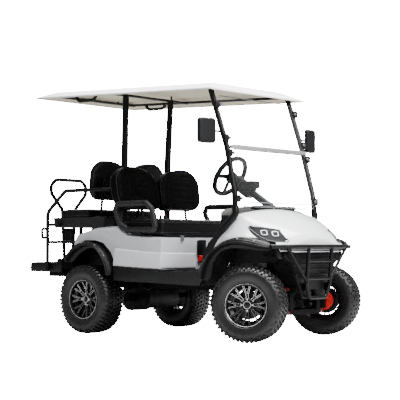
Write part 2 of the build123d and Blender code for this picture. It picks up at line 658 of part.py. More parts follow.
def wheel_liner(arch, trim_low, well_y, wall_low, plan):
    """One left-hand wheel well: a sheet under the arch and an upright inboard wall."""
    inside = well_y + SEAT_GAP
    with BuildPart() as made:
        with BuildSketch(Plane.XZ.offset(-FLARE_INNER)):
            add(inset(arch, SEAT_GAP))
            add(inset(arch, SEAT_GAP + LINER_WALL), mode=Mode.SUBTRACT)
            with Locations((0, trim_low - 500)):
                Rectangle(6000, 1000, mode=Mode.SUBTRACT)
        extrude(amount=FLARE_INNER - inside)
        with BuildSketch(Plane.XZ.offset(-inside - LINER_WALL)):
            add(inset(arch, SEAT_GAP))
            with Locations((0, wall_low - 500)):
                Rectangle(6000, 1000, mode=Mode.SUBTRACT)
        extrude(amount=LINER_WALL)
        add(plan_prism(plan, 300, 1000), mode=Mode.INTERSECT)
    return made.part


liner_out = FLARE_INNER - SEAT_GAP
LAMP_ROOM = 3.0                 # gap the liner leaves around the headlamp's back
rear_well = ((-830, 390), (-830, liner_out), (-200, liner_out), (-200, 390))
front_well = ((640, 380), (640, liner_out), (1000, liner_out), (1180, liner_out - 25), (1288, liner_out - 75), (1288, 380))
with BuildPart() as rear_liner:
    add(wheel_liner(rear_arch, REAR_FLARE_LOW[1], REAR_WELL_Y, 580, rear_well))
    add(block((-900, REAR_AXLE_X), (300, 700), (400, REAR_FLARE_LOW[0])), mode=Mode.SUBTRACT)
save(both_sides(rear_liner.part), "rear_wheel_liners")
with BuildPart() as front_liner:
    add(wheel_liner(front_arch, FRONT_FLARE_LOW, FRONT_WELL_Y, 610, front_well))
    with BuildSketch(Plane.XZ.offset(-liner_out)):
        add(inset(lamp_outline, -LAMP_ROOM))
    extrude(amount=liner_out - 300, mode=Mode.SUBTRACT)
save(both_sides(front_liner.part), "front_wheel_liners")

# ------------------------------------------------------- floor, rockers and dash
down = (cos(radians(COLUMN_ANGLE)), 0, -sin(radians(COLUMN_ANGLE)))


def along_column(distance):
    """A point on the column's axis, this far down from the wheel centre."""
    return (WHEEL_X + down[0] * distance, WHEEL_Y, WHEEL_Z + down[2] * distance)


floor_top = FLOOR_Z + FLOOR_THICK
floor_outline = (
    (HEEL_X + SEAT_GAP, FLOOR_Z), (760, FLOOR_Z), (930, 690), (930, 705), (918, 705),
    (755, floor_top), (HEEL_X + SEAT_GAP, floor_top),
)
with BuildPart() as floor_pan:
    add(prism(floor_outline, -574, 574))
    for low_y, high_y in ((-700, -FRONT_WELL_Y), (FRONT_WELL_Y, 700)):
        add(prism(front_arch, low_y, high_y), mode=Mode.SUBTRACT)
save(floor_pan.part, "floor_pan")
rocker_outline = (
    (-238, 484), (-232, 455), (126, 445), (650, 428), (699, 430), (734.6, 480), (769.4, 539.6),
    (HEEL_X + 2, 539.6), (HEEL_X + 2, 547.4), (-238, 570.5),
)
rocker = prism(rocker_outline, 578, 628)
rocker_plate = block((-150, 640), (main_rail[1] + SEAT_GAP, 590), (RAIL_HIGH - 16, RAIL_HIGH - 6))
save(both_sides(fused(rocker, rocker_plate)), "rockers")
dash_side = (
    (COWL_REAR_X - SEAT_GAP, 1026), (930, 1050), (830, 1062), (700, 1064), (672, 1050), (664, 1024), (690, 900),
    (736, 800), (775, 740), (COWL_REAR_X - SEAT_GAP, 740),
)
dash_plan = ((1000, -478), (800, -478), (716, -380), (664, -250), (664, 250), (716, 380), (800, 478), (1000, 478))
DASH_END_Z = 978.0
COLUMN_REACH = 590.0            # length of the column down to its seat in the dash
with BuildPart() as dashboard:
    add(prism(dash_side, -478, 478))
    add(plan_prism(dash_plan, 700, 1100), mode=Mode.INTERSECT)
    with BuildSketch(Plane.YZ.offset(600)):
        with BuildLine():
            ThreePointArc((-478, DASH_END_Z), (0, 1064), (478, DASH_END_Z))
            Polyline((478, DASH_END_Z), (478, 700), (-478, 700), (-478, DASH_END_Z))
        make_face()
    extrude(amount=400, mode=Mode.INTERSECT)
    for low_y, high_y in ((-400, -60), (60, 190)):
        add(block((640, 770), (low_y, high_y), (900, 1000)), mode=Mode.SUBTRACT)
    for low_y, high_y in ((-700, -FRONT_WELL_Y), (FRONT_WELL_Y, 700)):
        add(prism(front_arch, low_y, high_y), mode=Mode.SUBTRACT)
    add(tube((along_column(300), along_column(COLUMN_REACH + 2)), COLUMN_RADIUS + SEAT_GAP, 0), mode=Mode.SUBTRACT)
save(dashboard.part, "dashboard")
with BuildPart() as pedals:
    for y, width in ((235.0, 90.0), (355.0, 60.0)):
        with BuildSketch(Plane(origin=(820, y, 640), x_dir=(0, 1, 0), z_dir=(-0.8, 0, 0.6))):
            RectangleRounded(width, 110, 12)
        extrude(amount=10)
        add(tube(((822, y, 640), (890, y, 700), (890, y, 740 - SEAT_GAP)), 8, 15))
save(pedals.part, "pedals")

# ------------------------------------------------------------------ front bumper
GUARD_X = 1389.0                # upright bars of the brush guard
GUARD_TOP_Z = 735.0
GUARD_Y = 156.0
FASCIA_REAR_X = NOSE_RAIL_FRONT_X + SEAT_GAP
NOTCH_ROOM = 4.0
notch_y = EYE_WIDTH / 2 + NOTCH_ROOM
fascia_face = ((-150, 330), (-285, 600), (-385, 655), (-385, 684), (385, 684), (385, 655), (285, 600), (150, 330))
with BuildPart() as fascia:
    with BuildSketch(Plane.YZ.offset(FASCIA_REAR_X)):
        with BuildLine():
            Polyline(*fascia_face, close=True)
        make_face()
    extrude(amount=26)
    # a notch lets the tow pin in from below, and the guard's feet pass through
    add(block((1300, 1400), (-notch_y, notch_y), (300, RAIL_LOW + EYE_THICK + NOTCH_ROOM)), mode=Mode.SUBTRACT)
    for side in (-1, 1):
        add(block((1300, 1400), (side * GUARD_Y - 10, side * GUARD_Y + 10), (392, 453)), mode=Mode.SUBTRACT)
save(fascia.part, "front_fascia")

guard_top = tube(((1332, -530, GUARD_TOP_Z), (1405, -330, GUARD_TOP_Z), (1424, 0, GUARD_TOP_Z),
                  (1405, 330, GUARD_TOP_Z), (1332, 530, GUARD_TOP_Z)), 17, 300)
guard_loop = tube(((1420, -GUARD_Y, GUARD_TOP_Z), (GUARD_X + 6, -GUARD_Y, 440), (GUARD_X, -110, 336),
                   (GUARD_X, 110, 336), (GUARD_X + 6, GUARD_Y, 440), (1420, GUARD_Y, GUARD_TOP_Z)),
                  RAIL_TUBE, 40)
guard_rungs = [tube(((x, -GUARD_Y, z), (x, GUARD_Y, z)), 12, 0) for x, z in ((1410, 624), (1398, 485))]
guard_braces = [tube(((1392, side * 400, GUARD_TOP_Z), (1394, side * GUARD_Y, 470)), 12, 0) for side in (-1, 1)]
guard_feet = [block((NOSE_RAIL_FRONT_X + SEAT_GAP, GUARD_X + 4), (side * GUARD_Y - 8, side * GUARD_Y + 8), (395, 450))
              for side in (-1, 1)]
save(fused(guard_top, guard_loop, *guard_rungs, *guard_braces, *guard_feet), "brush_guard")

# ------------------------------------------------------------------------- lamps
save(both_sides(block((-742, -730 - SEAT_GAP), (508, 578), (726, 786))), "tail_lamps")

# ------------------------------------------------------------- struts and screen
strut_line = ((724, 513, ROOF_BAR_Z - 50), (887, 508, 1517), (974, 523, 1170), (992, 530, 985))
front_strut = tube(strut_line, STRUT_RADIUS, 160)
strut_foot = tube(((984, 526, 1040), (992, 530, 990), (950, 563.0, 926.6), (900, 596.3, 864.5)), 23, 40)
save(both_sides(fused(front_strut, strut_foot)), "front_struts")
rear_strut = tube(((-421, 290, ROOF_BAR_Z - 5), (-447, 278, 1457), (-452, 278, 897.6)), STRUT_RADIUS, 300)
save(both_sides(rear_strut), "rear_struts")

SCREEN_THICK = 5.0
SCREEN_HALF_WIDTH = 500.0
SCREEN_OFF = STRUT_RADIUS + 3.0
RAIL_MID_Z = (1506.0, 1534.0)   # grey rail between the two panes
screen_line = ((988 + SCREEN_OFF, 1046), (974 + SCREEN_OFF, 1170), (890 + SCREEN_OFF, RAIL_MID_Z[0]))
upper_line = ((882 + SCREEN_OFF, RAIL_MID_Z[1]), (742 + SCREEN_OFF, 1940))


def pane(points):
    """A screen pane: a bent side line, thickened and drawn across the cart."""
    front = [(x + SCREEN_THICK, z) for x, z in reversed(points)]
    return prism((*points, *front), -SCREEN_HALF_WIDTH, SCREEN_HALF_WIDTH)


screen = Compound(children=[*pane(screen_line).solids(), *pane(upper_line).solids()])
save(screen, "windshield")
rail_gap = (RAIL_MID_Z[0] + SEAT_GAP, RAIL_MID_Z[1] - SEAT_GAP)
save(block((907.5, 928), (-SCREEN_HALF_WIDTH, SCREEN_HALF_WIDTH), rail_gap), "windshield_rail")

# ------------------------------------------------------------------------- seats


def cushion(x, y, z, corner):
    """A soft block with rounded upright corners."""
    with BuildPart() as made:
        with BuildSketch(Plane.XY.offset(z[0])):
            with Locations(((x[0] + x[1]) / 2, (y[0] + y[1]) / 2)):
                RectangleRounded(x[1] - x[0], y[1] - y[0], corner)
        extrude(amount=z[1] - z[0])
        fillet(made.edges().group_by(Axis.Z)[-1], 24)
    return made.part


seat_y = (-CUSHION_HALF_WIDTH, CUSHION_HALF_WIDTH)
save(cushion((CUSHION_REAR_X, CUSHION_FRONT_X), seat_y, (CUSHION_LOW, CUSHION_LOW + CUSHION_THICK), 40),
     "front_seat_cushion")
rear_seat_y = (-REAR_CUSHION_HALF_WIDTH, REAR_CUSHION_HALF_WIDTH)
save(cushion((REAR_CUSHION_REAR_X, REAR_CUSHION_FRONT_X), rear_seat_y,
             (REAR_CUSHION_LOW, REAR_CUSHION_LOW + REAR_CUSHION_THICK), 40), "rear_seat_cushion")


def backrest(foot, lean, width, height, thick, facing):
    """A backrest that leans back as it rises; facing is +1 forwards, -1 rearwards."""
    up = (-sin(radians(lean)) * facing, 0, cos(radians(lean)))
    out = (cos(radians(lean)) * facing, 0, sin(radians(lean)))
    with BuildPart() as made:
        with BuildSketch(Plane(origin=foot, x_dir=(0, facing, 0), z_dir=out)) as face:
            with Locations((0, height / 2)):
                Rectangle(width, height)
            fillet(face.vertices().group_by(Axis.Y)[-1], width * 0.27)
            fillet(face.vertices().group_by(Axis.Y)[0], width * 0.12)
        extrude(amount=thick)
        fillet(made.faces().sort_by(Axis.X)[-1 if facing > 0 else 0].edges(), 22)
    return made.part


backs = []
for side in (-1, 1):
    backs.append(backrest((-345, side * 280, 1040), 9, 536, 385, 100, 1))
save(Compound(children=[solid for back in backs for solid in back.solids()]), "front_seat_backs")
backs = [backrest((-670, side * 236, 1130), 7, 450, 368, 72, -1) for side in (-1, 1)]
save(Compound(children=[solid for back in backs for solid in back.solids()]), "rear_seat_backs")

# ------------------------------------------------------- seat frames and armrests
POST_RADIUS = 12.0
CROSS_RADIUS = 10.0


def behind_back(foot_x, foot_z, lean, facing, z):
    """Where a post runs up the back of a leaning backrest, at height z."""
    shift = (POST_RADIUS + SEAT_GAP) / cos(radians(lean))
    return foot_x - facing * ((z - foot_z) * sin(radians(lean)) / cos(radians(lean)) + shift)


front_posts = [tube([(-335, side * y, 903.2)] + [(behind_back(-345, 1040, 9, 1, z), side * y, z) for z in (1040, 1200)],
                    POST_RADIUS, 60) for side in (-1, 1) for y in (150, 420)]
rear_posts = [tube([(behind_back(-670, 1130, 7, -1, z), side * y, z) for z in (REAR_BASE_TOP + 1.8, 1330)],
                   POST_RADIUS, 0) for side in (-1, 1) for y in (130, 340)]
cross_x = (behind_back(-345, 1040, 9, 1, 1110), behind_back(-670, 1130, 7, -1, 1180))
seat_back_frame = [
    fused(*front_posts, tube(((cross_x[0], -470, 1110), (cross_x[0], 470, 1110)), CROSS_RADIUS, 0)),
    fused(*rear_posts, tube(((cross_x[1], -380, 1180), (cross_x[1], 380, 1180)), CROSS_RADIUS, 0)),
]
save(Compound(children=[solid for frame_part in seat_back_frame for solid in frame_part.solids()]),
     "seat_back_frame")
ARMREST_Y = 580.0
ARMREST_TUBE = 15.0
armrest_line = ((-262, 1044), (-238, 1088), (95, 1090), (152, 1045), (192, 900), (165, 872), (-120, 876), (-205, 925),
                (-262, 1042))
armrest = tube([(x, ARMREST_Y, z) for x, z in armrest_line], ARMREST_TUBE, 18)
armrest_pad = tube(((-205, ARMREST_Y, 1092), (70, ARMREST_Y, 1092)), 19, 0)
deck_slope = (818.0 - 833.0) / (54.0 + 91.0)
foot_low = [833.0 + (x + 91.0) * deck_slope + SEAT_GAP for x in (-60, 20)]
armrest_foot = prism(((-60, foot_low[0]), (20, foot_low[1]), (20, 872), (-60, 872)), ARMREST_Y - 22, ARMREST_Y - 3)
save(both_sides(fused(armrest, armrest_pad, armrest_foot)), "armrests")

LEG_X = -1008.0
base_outline = ((REAR_BASE_REAR_X, REAR_BASE_TOP), (-545, REAR_BASE_TOP), (-545, 878), (-596, 867.3), (-698, 841.3),
                (-704, REAR_BASE_LOW), (REAR_BASE_REAR_X + 22, REAR_BASE_LOW))
with BuildPart() as rear_base:
    add(prism(base_outline, -430, 430))
    add(block((REAR_BASE_REAR_X + 24 + REAR_BASE_WALL, -760), (-430 + REAR_BASE_WALL, 430 - REAR_BASE_WALL),
              (REAR_BASE_LOW + REAR_BASE_WALL, REAR_BASE_TOP + 1)), mode=Mode.SUBTRACT)
save(rear_base.part, "rear_seat_base")
rear_legs = [tube(((LEG_X, side * RAIL_Y, RAIL_HIGH + SEAT_GAP), (LEG_X, side * RAIL_Y, REAR_BASE_LOW - SEAT_GAP)), 18, 0)
             for side in (-1, 1)]
save(fused(*rear_legs, tube(((LEG_X, -RAIL_Y, 640), (LEG_X, RAIL_Y, 640)), 14, 0)), "rear_seat_legs")

# --------------------------------------------------------------- rear platform
platform = cushion((PLATFORM_REAR_X, PLATFORM_FRONT_X), (-PLATFORM_HALF_WIDTH, PLATFORM_HALF_WIDTH),
                   (PLATFORM_TOP - PLATFORM_THICK, PLATFORM_TOP), 25)
lip = block((PLATFORM_FRONT_X - 55, PLATFORM_FRONT_X), (-PLATFORM_HALF_WIDTH, PLATFORM_HALF_WIDTH),
            (PLATFORM_TOP - 50, PLATFORM_TOP + 34))
save(fused(platform, lip), "foot_platform")
POST_Y = 490.0
grab_rail = fused(
    tube(((-1190, POST_Y, 530), (-1190, POST_Y, 1040), (-965, POST_Y, 1226), (-530, POST_Y, 1226),
          (-449, 420, 1226), (-449, 278 + STRUT_RADIUS + SEAT_GAP, 1226)), RAIL_TUBE, 80),
    tube(((-1190, POST_Y, 930), (-1085, POST_Y, 930), (-1085, 430 + SEAT_GAP, 930)), 11, 30),
    tube(((-1190, POST_Y, 777), (-730 - SEAT_GAP, POST_Y, 777)), 11, 0),
    block((-1204, -1176), (PLATFORM_HALF_WIDTH + SEAT_GAP, POST_Y), (536, 585)),
    tube(((-1190, POST_Y, 895), (-1262, POST_Y, 895), (-1262, POST_Y, 815), (-1190, POST_Y, 815)), 9, 18),
)
save(both_sides(grab_rail), "grab_rails")
HOOP_X = -1435.0
hoop = tube(((HOOP_X, -50, 598.3), (HOOP_X, -80, 1080), (HOOP_X, -222, 1230), (HOOP_X, -222, 1300), (HOOP_X, -165, 1355),
             (HOOP_X, 165, 1355), (HOOP_X, 222, 1300), (HOOP_X, 222, 1230), (HOOP_X, 80, 1080), (HOOP_X, 50, 598.3)),
            RAIL_TUBE, 70)
save(fused(hoop, block((HOOP_X - 4, HOOP_X + 4), (-72, 72), (780, 905))), "grab_hoop")

# -------------------------------------------------------------------------- roof


def roof_form(wall):
    """The level roof's outer form, or the hollow that leaves this wall."""
    half = ROOF_HALF_WIDTH - wall
    front = ROOF_FRONT_X - wall
    rear = ROOF_REAR_X + wall
    low = ROOF_EDGE_Z - (1 if wall else 0)
    edge = ROOF_EDGE_Z + 12 - wall
    top = ROOF_EDGE_Z + ROOF_RISE - wall
    with BuildPart() as form:
        with BuildSketch(Plane.YZ.offset(rear)):
            with BuildLine():
                Polyline((-half, edge), (-half, low), (half, low), (half, edge))
                Line((half, edge), (half - 130, top - 24))
                ThreePointArc((half - 130, top - 24), (0, top), (-half + 130, top - 24))
                Line((-half + 130, top - 24), (-half, edge))
            make_face()
        extrude(amount=front - rear)
        with BuildSketch(Plane.XZ.offset(-half)):
            with BuildLine():
                Polyline((rear, edge), (rear, low), (front, low), (front, edge))
                Line((front, edge), (front - 150, top - 14))
                ThreePointArc((front - 150, top - 14), ((front + rear) / 2, top + 6), (rear + 150, top - 14))
                Line((rear + 150, top - 14), (rear, edge))
            make_face()
        extrude(amount=2 * half, mode=Mode.INTERSECT)
    return form.part


ROOF_PIVOT = Axis(((ROOF_FRONT_X + ROOF_REAR_X) / 2, 0, ROOF_EDGE_Z), (0, 1, 0))
with BuildPart() as roof:
    add(roof_form(0))
    add(roof_form(ROOF_WALL), mode=Mode.SUBTRACT)
    corners = roof.edges().filter_by(Axis.Z)
    fillet(corners, 6)
save(roof.part.rotate(ROOF_PIVOT, ROOF_SLOPE), "roof")
ROOF_BAR = 12.0
bars = [tube(((ROOF_REAR_X + 98, side * 470, ROOF_BAR_Z), (ROOF_FRONT_X - 93, side * 470, ROOF_BAR_Z)), ROOF_BAR, 0)
        for side in (-1, 1)]
bars += [tube(((x, -520, ROOF_BAR_Z), (x, 520, ROOF_BAR_Z)), ROOF_BAR, 0)
         for x in (ROOF_REAR_X + 112, -421, ROOF_FRONT_X - 98)]
for x, top in ((ROOF_REAR_X + 112, 2053.8), (-421, 2081.6), (ROOF_FRONT_X - 98, 2047.6)):
    for y in (-300, 300):
        bars.append(tube(((x, y, ROOF_BAR_Z), (x, y, top)), 9, 0))
roof_frame = fused(*bars).rotate(ROOF_PIVOT, ROOF_SLOPE)
save(roof_frame, "roof_frame")

# ----------------------------------------------------------------------- mirrors
MIRROR_TURN = 12.0              # outer edge turned rearwards, degrees
MIRROR_Y = 690.0
with BuildPart() as mirror_head:
    with BuildSketch(Plane.YZ.offset(815)):
        with Locations((MIRROR_Y, 1640)):
            RectangleRounded(165, 200, 30)
    extrude(amount=36)
    fillet(mirror_head.faces().sort_by(Axis.X)[-1].edges(), 14)
mirror_turned = mirror_head.part.rotate(Axis((833, MIRROR_Y, 0), (0, 0, 1)), MIRROR_TURN)
mirror_set = fused(mirror_turned, tube(((840, 528.7, 1640), (840, 650, 1640)), 9, 0))
save(both_sides(mirror_set), "mirrors")

# ---------------------------------------------------------------------- steering
with BuildPart() as column:
    add(tube((along_column(68 + SEAT_GAP), along_column(COLUMN_REACH)), COLUMN_RADIUS, 0))
    with Locations((along_column(260)[0], WHEEL_Y, along_column(260)[2] + 55)):
        Box(120, 110, 60)
save(column.part, "steering_column")
wheel_face = Plane(origin=(WHEEL_X, WHEEL_Y, WHEEL_Z), x_dir=(0, 1, 0), z_dir=tuple(-d for d in down))
with BuildPart() as wheel_local:
    with BuildSketch(Plane.XZ):
        with Locations((WHEEL_RIM_RADIUS, 0)):
            Circle(14)
    revolve(axis=Axis.Z)
    with BuildSketch(Plane.XY.offset(-34)):
        Circle(46)
    extrude(amount=30)
    with BuildSketch(Plane.XY.offset(-68)):
        Circle(20)
    extrude(amount=40)
    for turn in (0, 90, 180):
        with BuildSketch(Plane.XY.offset(-14)):
            with PolarLocations(100, 1, start_angle=turn):
                Rectangle(145, 26)
        extrude(amount=8)
save(wheel_local.part.moved(wheel_face.location), "steering_wheel")
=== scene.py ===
"""Looks of the lifted four-seat golf cart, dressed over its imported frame.

Metres, +X forwards, +Y to the cart's left, +Z up.  Each piece is made where it
sits and rides on the body that carries it.
"""
import bpy
import bmesh
import math
from bmesh import ops
from bmesh.types import BMEdge, BMFace, BMVert
from math import radians
from mathutils import Matrix, Vector


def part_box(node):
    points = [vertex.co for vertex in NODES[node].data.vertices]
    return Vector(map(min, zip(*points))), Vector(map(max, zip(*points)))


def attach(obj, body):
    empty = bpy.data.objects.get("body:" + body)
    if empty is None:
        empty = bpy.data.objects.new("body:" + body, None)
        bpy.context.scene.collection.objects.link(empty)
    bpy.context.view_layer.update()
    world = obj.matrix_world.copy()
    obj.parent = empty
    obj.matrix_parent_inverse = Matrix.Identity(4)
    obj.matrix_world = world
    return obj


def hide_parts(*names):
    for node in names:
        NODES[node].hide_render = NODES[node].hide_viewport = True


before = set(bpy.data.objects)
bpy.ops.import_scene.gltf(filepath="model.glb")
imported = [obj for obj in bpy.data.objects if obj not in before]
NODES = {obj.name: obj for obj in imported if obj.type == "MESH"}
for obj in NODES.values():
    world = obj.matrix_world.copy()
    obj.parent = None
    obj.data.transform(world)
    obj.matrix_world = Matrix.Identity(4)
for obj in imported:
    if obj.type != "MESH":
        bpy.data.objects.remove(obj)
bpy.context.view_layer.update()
UP = Vector((0, 0, 1))
SIDES = (("left", 1), ("right", -1))


# ---- tools for objects, modifiers and shader nodes
def new_object(name, data):
    """An object in the scene that holds this data."""
    thing = bpy.data.objects.new(name, data)
    bpy.context.scene.collection.objects.link(thing)
    return thing


def set_all(target, settings):
    """Give a target all of these settings."""
    for key, value in settings.items():
        setattr(target, key, value)
    return target


def modify(thing, name, kind, **settings):
    """Add a modifier with these settings."""
    return set_all(thing.modifiers.new(name, kind), settings)


def connect(tree, inputs, sources):
    """Fill inputs by name or number; a source is a value, a socket or a node, for its first output."""
    for key, source in sources.items():
        if isinstance(source, bpy.types.Node):
            source = source.outputs[0]
        if isinstance(source, bpy.types.NodeSocket):
            tree.links.new(source, inputs[key])
        else:
            inputs[key].default_value = source


def add_node(tree, kind, sources=None, **settings):
    """A shader node with its settings and its inputs filled."""
    node = set_all(tree.nodes.new("ShaderNode" + kind), settings)
    connect(tree, node.inputs, sources or {})
    return node


def node_group(name, inputs, outputs):
    """An empty shader group with a Vector and these inputs; returns it, its given sockets and its results."""
    group = bpy.data.node_groups.new(name, "ShaderNodeTree")
    group.interface.new_socket("Vector", in_out="INPUT", socket_type="NodeSocketVector")
    for label, value in inputs.items():
        kind = "NodeSocketColor" if isinstance(value, tuple) else "NodeSocketFloat"
        group.interface.new_socket(label, in_out="INPUT", socket_type=kind).default_value = value
    for label, kind in outputs.items():
        group.interface.new_socket(label, in_out="OUTPUT", socket_type="NodeSocket" + kind)
    return group, group.nodes.new("NodeGroupInput").outputs, group.nodes.new("NodeGroupOutput").inputs


# ---- camera and light
CAMERA_PLACE = (7.138, -8.163, 0.729)
CAMERA_YAW = 130.4615  # view direction, degrees from +X
CAMERA_PITCH = 2.1532  # degrees above level
CAMERA_LENS = 113.61  # millimetres on a 36 mm sensor


def look(place, target):
    """The turn that points an object's -Z axis from place to target."""
    return (Vector(target) - Vector(place)).to_track_quat("-Z", "Y").to_euler()


camera_data = bpy.data.cameras.new("view_camera")
camera_data.sensor_width = 36.0
camera_data.lens = CAMERA_LENS
camera_data.clip_end = 100.0
camera = new_object("view_camera", camera_data)
camera.location = CAMERA_PLACE
camera.rotation_euler = (radians(90 + CAMERA_PITCH), 0, radians(CAMERA_YAW - 90))
bpy.context.scene.camera = camera

world = bpy.data.worlds.new("pale_studio")
bpy.context.scene.world = world
world.use_nodes = True
AMBIENT = 0.28  # soft light from all round
BACKDROP = 40.0  # brightness of the studio behind the cart, as the camera sees it
FLOOR_GLOW = 36.0  # brightness of the floor, as the camera sees it
WHITE = (1, 1, 1, 1)
tree = world.node_tree
ambient = tree.nodes["Background"]
connect(tree, ambient.inputs, {"Color": WHITE, "Strength": AMBIENT})
backdrop = add_node(tree, "Background", {"Color": WHITE, "Strength": BACKDROP})
seen = add_node(tree, "LightPath").outputs["Is Camera Ray"]
choose = add_node(tree, "MixShader", {0: seen, 1: ambient, 2: backdrop})
connect(tree, tree.nodes["World Output"].inputs, {"Surface": choose})
LIGHTS = (
    # name, place, aim, size, power
    ("softbox_over", (1.2, 0.5, 5.2), (0.1, 0, 0.8), 4.2, 1500),
    ("softbox_front", (5.8, -0.9, 3.8), (0.8, 0, 0.7), 2.5, 300),
    ("softbox_side", (-1.5, -6.5, 3.6), (-0.1, 0, 0.6), 3.0, 18),
    ("softbox_back", (-4.5, 4.5, 3.4), (0, 0, 1.0), 3.5, 160),
)
for name, place, aim, size, power in LIGHTS:
    light = bpy.data.lights.new(name, "AREA")
    light.shape = "SQUARE"
    light.size = size
    light.energy = power
    lamp = new_object(name, light)
    lamp.location = place
    lamp.rotation_euler = look(place, aim)


# ---- node groups
def make_grain_group():
    """Fine moulded grain or orange peel: a normal and a variation mask."""
    group, given, result = node_group(
        "fine_grain", {"Scale": 900.0, "Depth": 0.2, "Patch": 6.0}, {"Normal": "Vector", "Patches": "Float"})
    place = given["Vector"]
    noise = add_node(group, "TexNoise", {"Vector": place, "Scale": given["Scale"], "Detail": 2.0})
    bump = add_node(group, "Bump", {"Height": noise, "Strength": given["Depth"], "Distance": 0.0006})
    patch = add_node(group, "TexNoise", {"Vector": place, "Scale": given["Patch"], "Detail": 4.0})
    connect(group, result, {"Normal": bump, "Patches": patch})
    return group


def make_hide_group():
    """Leather-like vinyl: pebbled cells with fine creases."""
    group, given, result = node_group(
        "vinyl_hide", {"Scale": 420.0, "Depth": 0.35}, {"Normal": "Vector", "Creases": "Float"})
    place = given["Vector"]
    cells = add_node(group, "TexVoronoi", {
        "Vector": place, "Scale": given["Scale"], "Randomness": 0.9}, feature="DISTANCE_TO_EDGE")
    ramp = add_node(group, "MapRange", {"Value": cells, "From Max": 0.16})
    folds = add_node(group, "TexNoise", {"Vector": place, "Scale": 26.0, "Detail": 3.0})
    both = add_node(group, "Math", {0: folds, 1: 2.2, 2: ramp}, operation="MULTIPLY_ADD")
    bump = add_node(group, "Bump", {"Height": both, "Strength": given["Depth"], "Distance": 0.0007})
    connect(group, result, {"Normal": bump, "Creases": ramp})
    return group


def make_dust_group():
    """Road dust that thins out with height above the ground."""
    group, given, result = node_group(
        "road_dust",
        {"Color": (0.02, 0.02, 0.02, 1), "Dust": (0.035, 0.033, 0.03, 1), "Amount": 0.35, "Height": 0.7,
         "Roughness": 0.5},
        {"Color": "Color", "Roughness": "Float"})
    place = given["Vector"]
    height = add_node(group, "SeparateXYZ", {0: place}).outputs["Z"]
    fall = add_node(group, "MapRange", {
        "Value": height, "From Max": given["Height"], "To Min": 1.0, "To Max": 0.0})
    speck = add_node(group, "TexNoise", {"Vector": place, "Scale": 14.0, "Detail": 6.0, "Roughness": 0.7})
    shape = add_node(group, "MapRange", {"Value": speck, "From Min": 0.42, "From Max": 0.72})
    cover = add_node(group, "Math", {0: fall, 1: shape}, operation="MULTIPLY")
    share = add_node(group, "Math", {0: cover, 1: given["Amount"]}, operation="MULTIPLY")
    mix = add_node(group, "Mix", data_type="RGBA")
    connect(group, mix.inputs, {0: share, 6: given["Color"], 7: given["Dust"]})
    rough = add_node(
        group, "Math", {0: share, 1: 0.6, 2: given["Roughness"]}, operation="MULTIPLY_ADD", use_clamp=True)
    connect(group, result, {"Color": mix.outputs[2], "Roughness": rough})
    return group


GRAIN = make_grain_group()
HIDE = make_hide_group()
DUST = make_dust_group()
COAT_ROUGHNESS = 0.06


def new_material(name, color, roughness):
    """A material with its colour and roughness: itself, its node tree and its shader's inputs."""
    material = bpy.data.materials.new(name)
    material.use_nodes = True
    tree = material.node_tree
    inputs = tree.nodes["Principled BSDF"].inputs
    connect(tree, inputs, {"Base Color": (*color, 1), "Roughness": roughness})
    return material, tree, inputs


def finish(name, color, roughness, grain=None, metallic=0.0, coat=0.0, hide=None, dust=None, specular=0.5):
    """A finish: colour with dust (amount, height), roughness, and a grain or hide relief (scale, depth)."""
    material, tree, inputs = new_material(name, color, roughness)
    material.diffuse_color = (*color, 1)
    connect(
        tree, inputs, {"Metallic": metallic, "Coat Weight": coat, "Coat Roughness": COAT_ROUGHNESS,
        "Specular IOR Level": specular})
    place = add_node(tree, "TexCoord").outputs["Object"]
    if dust:
        amount, height = dust
        node = add_node(tree, "Group", node_tree=DUST)
        connect(tree, node.inputs, {
            "Vector": place, "Color": (*color, 1), "Amount": amount, "Height": height, "Roughness": roughness})
        connect(tree, inputs, {"Base Color": node, "Roughness": node.outputs["Roughness"]})
    # each relief also varies the roughness between two values, unless dust does
    for relief, group, mask, low, high in (
            (grain, GRAIN, "Patches", roughness * 0.85, min(1.0, roughness * 1.2)),
            (hide, HIDE, "Creases", roughness + 0.12, roughness)):
        if relief:
            scale, depth = relief
            node = add_node(tree, "Group", node_tree=group)
            connect(tree, node.inputs, {"Vector": place, "Scale": scale, "Depth": depth})
            connect(tree, inputs, {"Normal": node})
            if not dust:
                vary = add_node(tree, "MapRange", {"Value": node.outputs[mask], "To Min": low, "To Max": high})
                connect(tree, inputs, {"Roughness": vary})
    return material


ROOF_WHITE = finish("roof_white", (0.9, 0.9, 0.9), 0.35, (500, 0.05), coat=0.5)
PEARL = finish("pearl_white", (0.76, 0.775, 0.8), 0.26, (700, 0.03), coat=0.8)
BLACK_GRAIN = finish(
    "grained_black", (0.004, 0.004, 0.0045), 0.46, (1100, 0.4), specular=0.24, dust=(0.03, 0.8))
BLACK_TUBE = finish("satin_black_tube", (0.003, 0.003, 0.0034), 0.36, (500, 0.06), specular=0.2)
CHASSIS = finish("chassis_black", (0.003, 0.003, 0.0033), 0.6, (500, 0.2), specular=0.08, dust=(0.03, 0.7))
CAST = finish("cast_grey", (0.01, 0.01, 0.0105), 0.6, (300, 0.5), metallic=0.4, dust=(0.05, 0.6))
RED = finish("red_coat", (0.55, 0.008, 0.008), 0.3, (500, 0.08), coat=0.6)
# a darker copy of the same pearl white, for the rear body: painted shade on its sides
PEARL_PAINTED_SHADE = finish("pearl_white_painted_shade", (0.56, 0.575, 0.605), 0.26, (700, 0.03), coat=0.8)
# the arms' red darkened nearly to black as painted shade under the cart; the road dust over it is dust
RED_ARM_PAINTED_SHADE = finish("red_coat_painted_shade", (0.07, 0.003, 0.003), 0.45, (500, 0.1), dust=(0.1, 0.6))
RUBBER = finish("tyre_rubber", (0.003, 0.003, 0.0033), 0.42, (1400, 0.2), specular=0.48, dust=(0.03, 0.5))
RIM_BLACK = finish("rim_gloss_black", (0.003, 0.003, 0.0034), 0.3, (500, 0.03), specular=0.3)
MACHINED = finish("machined_silver", (0.8, 0.8, 0.81), 0.24, (1500, 0.08), metallic=1.0)
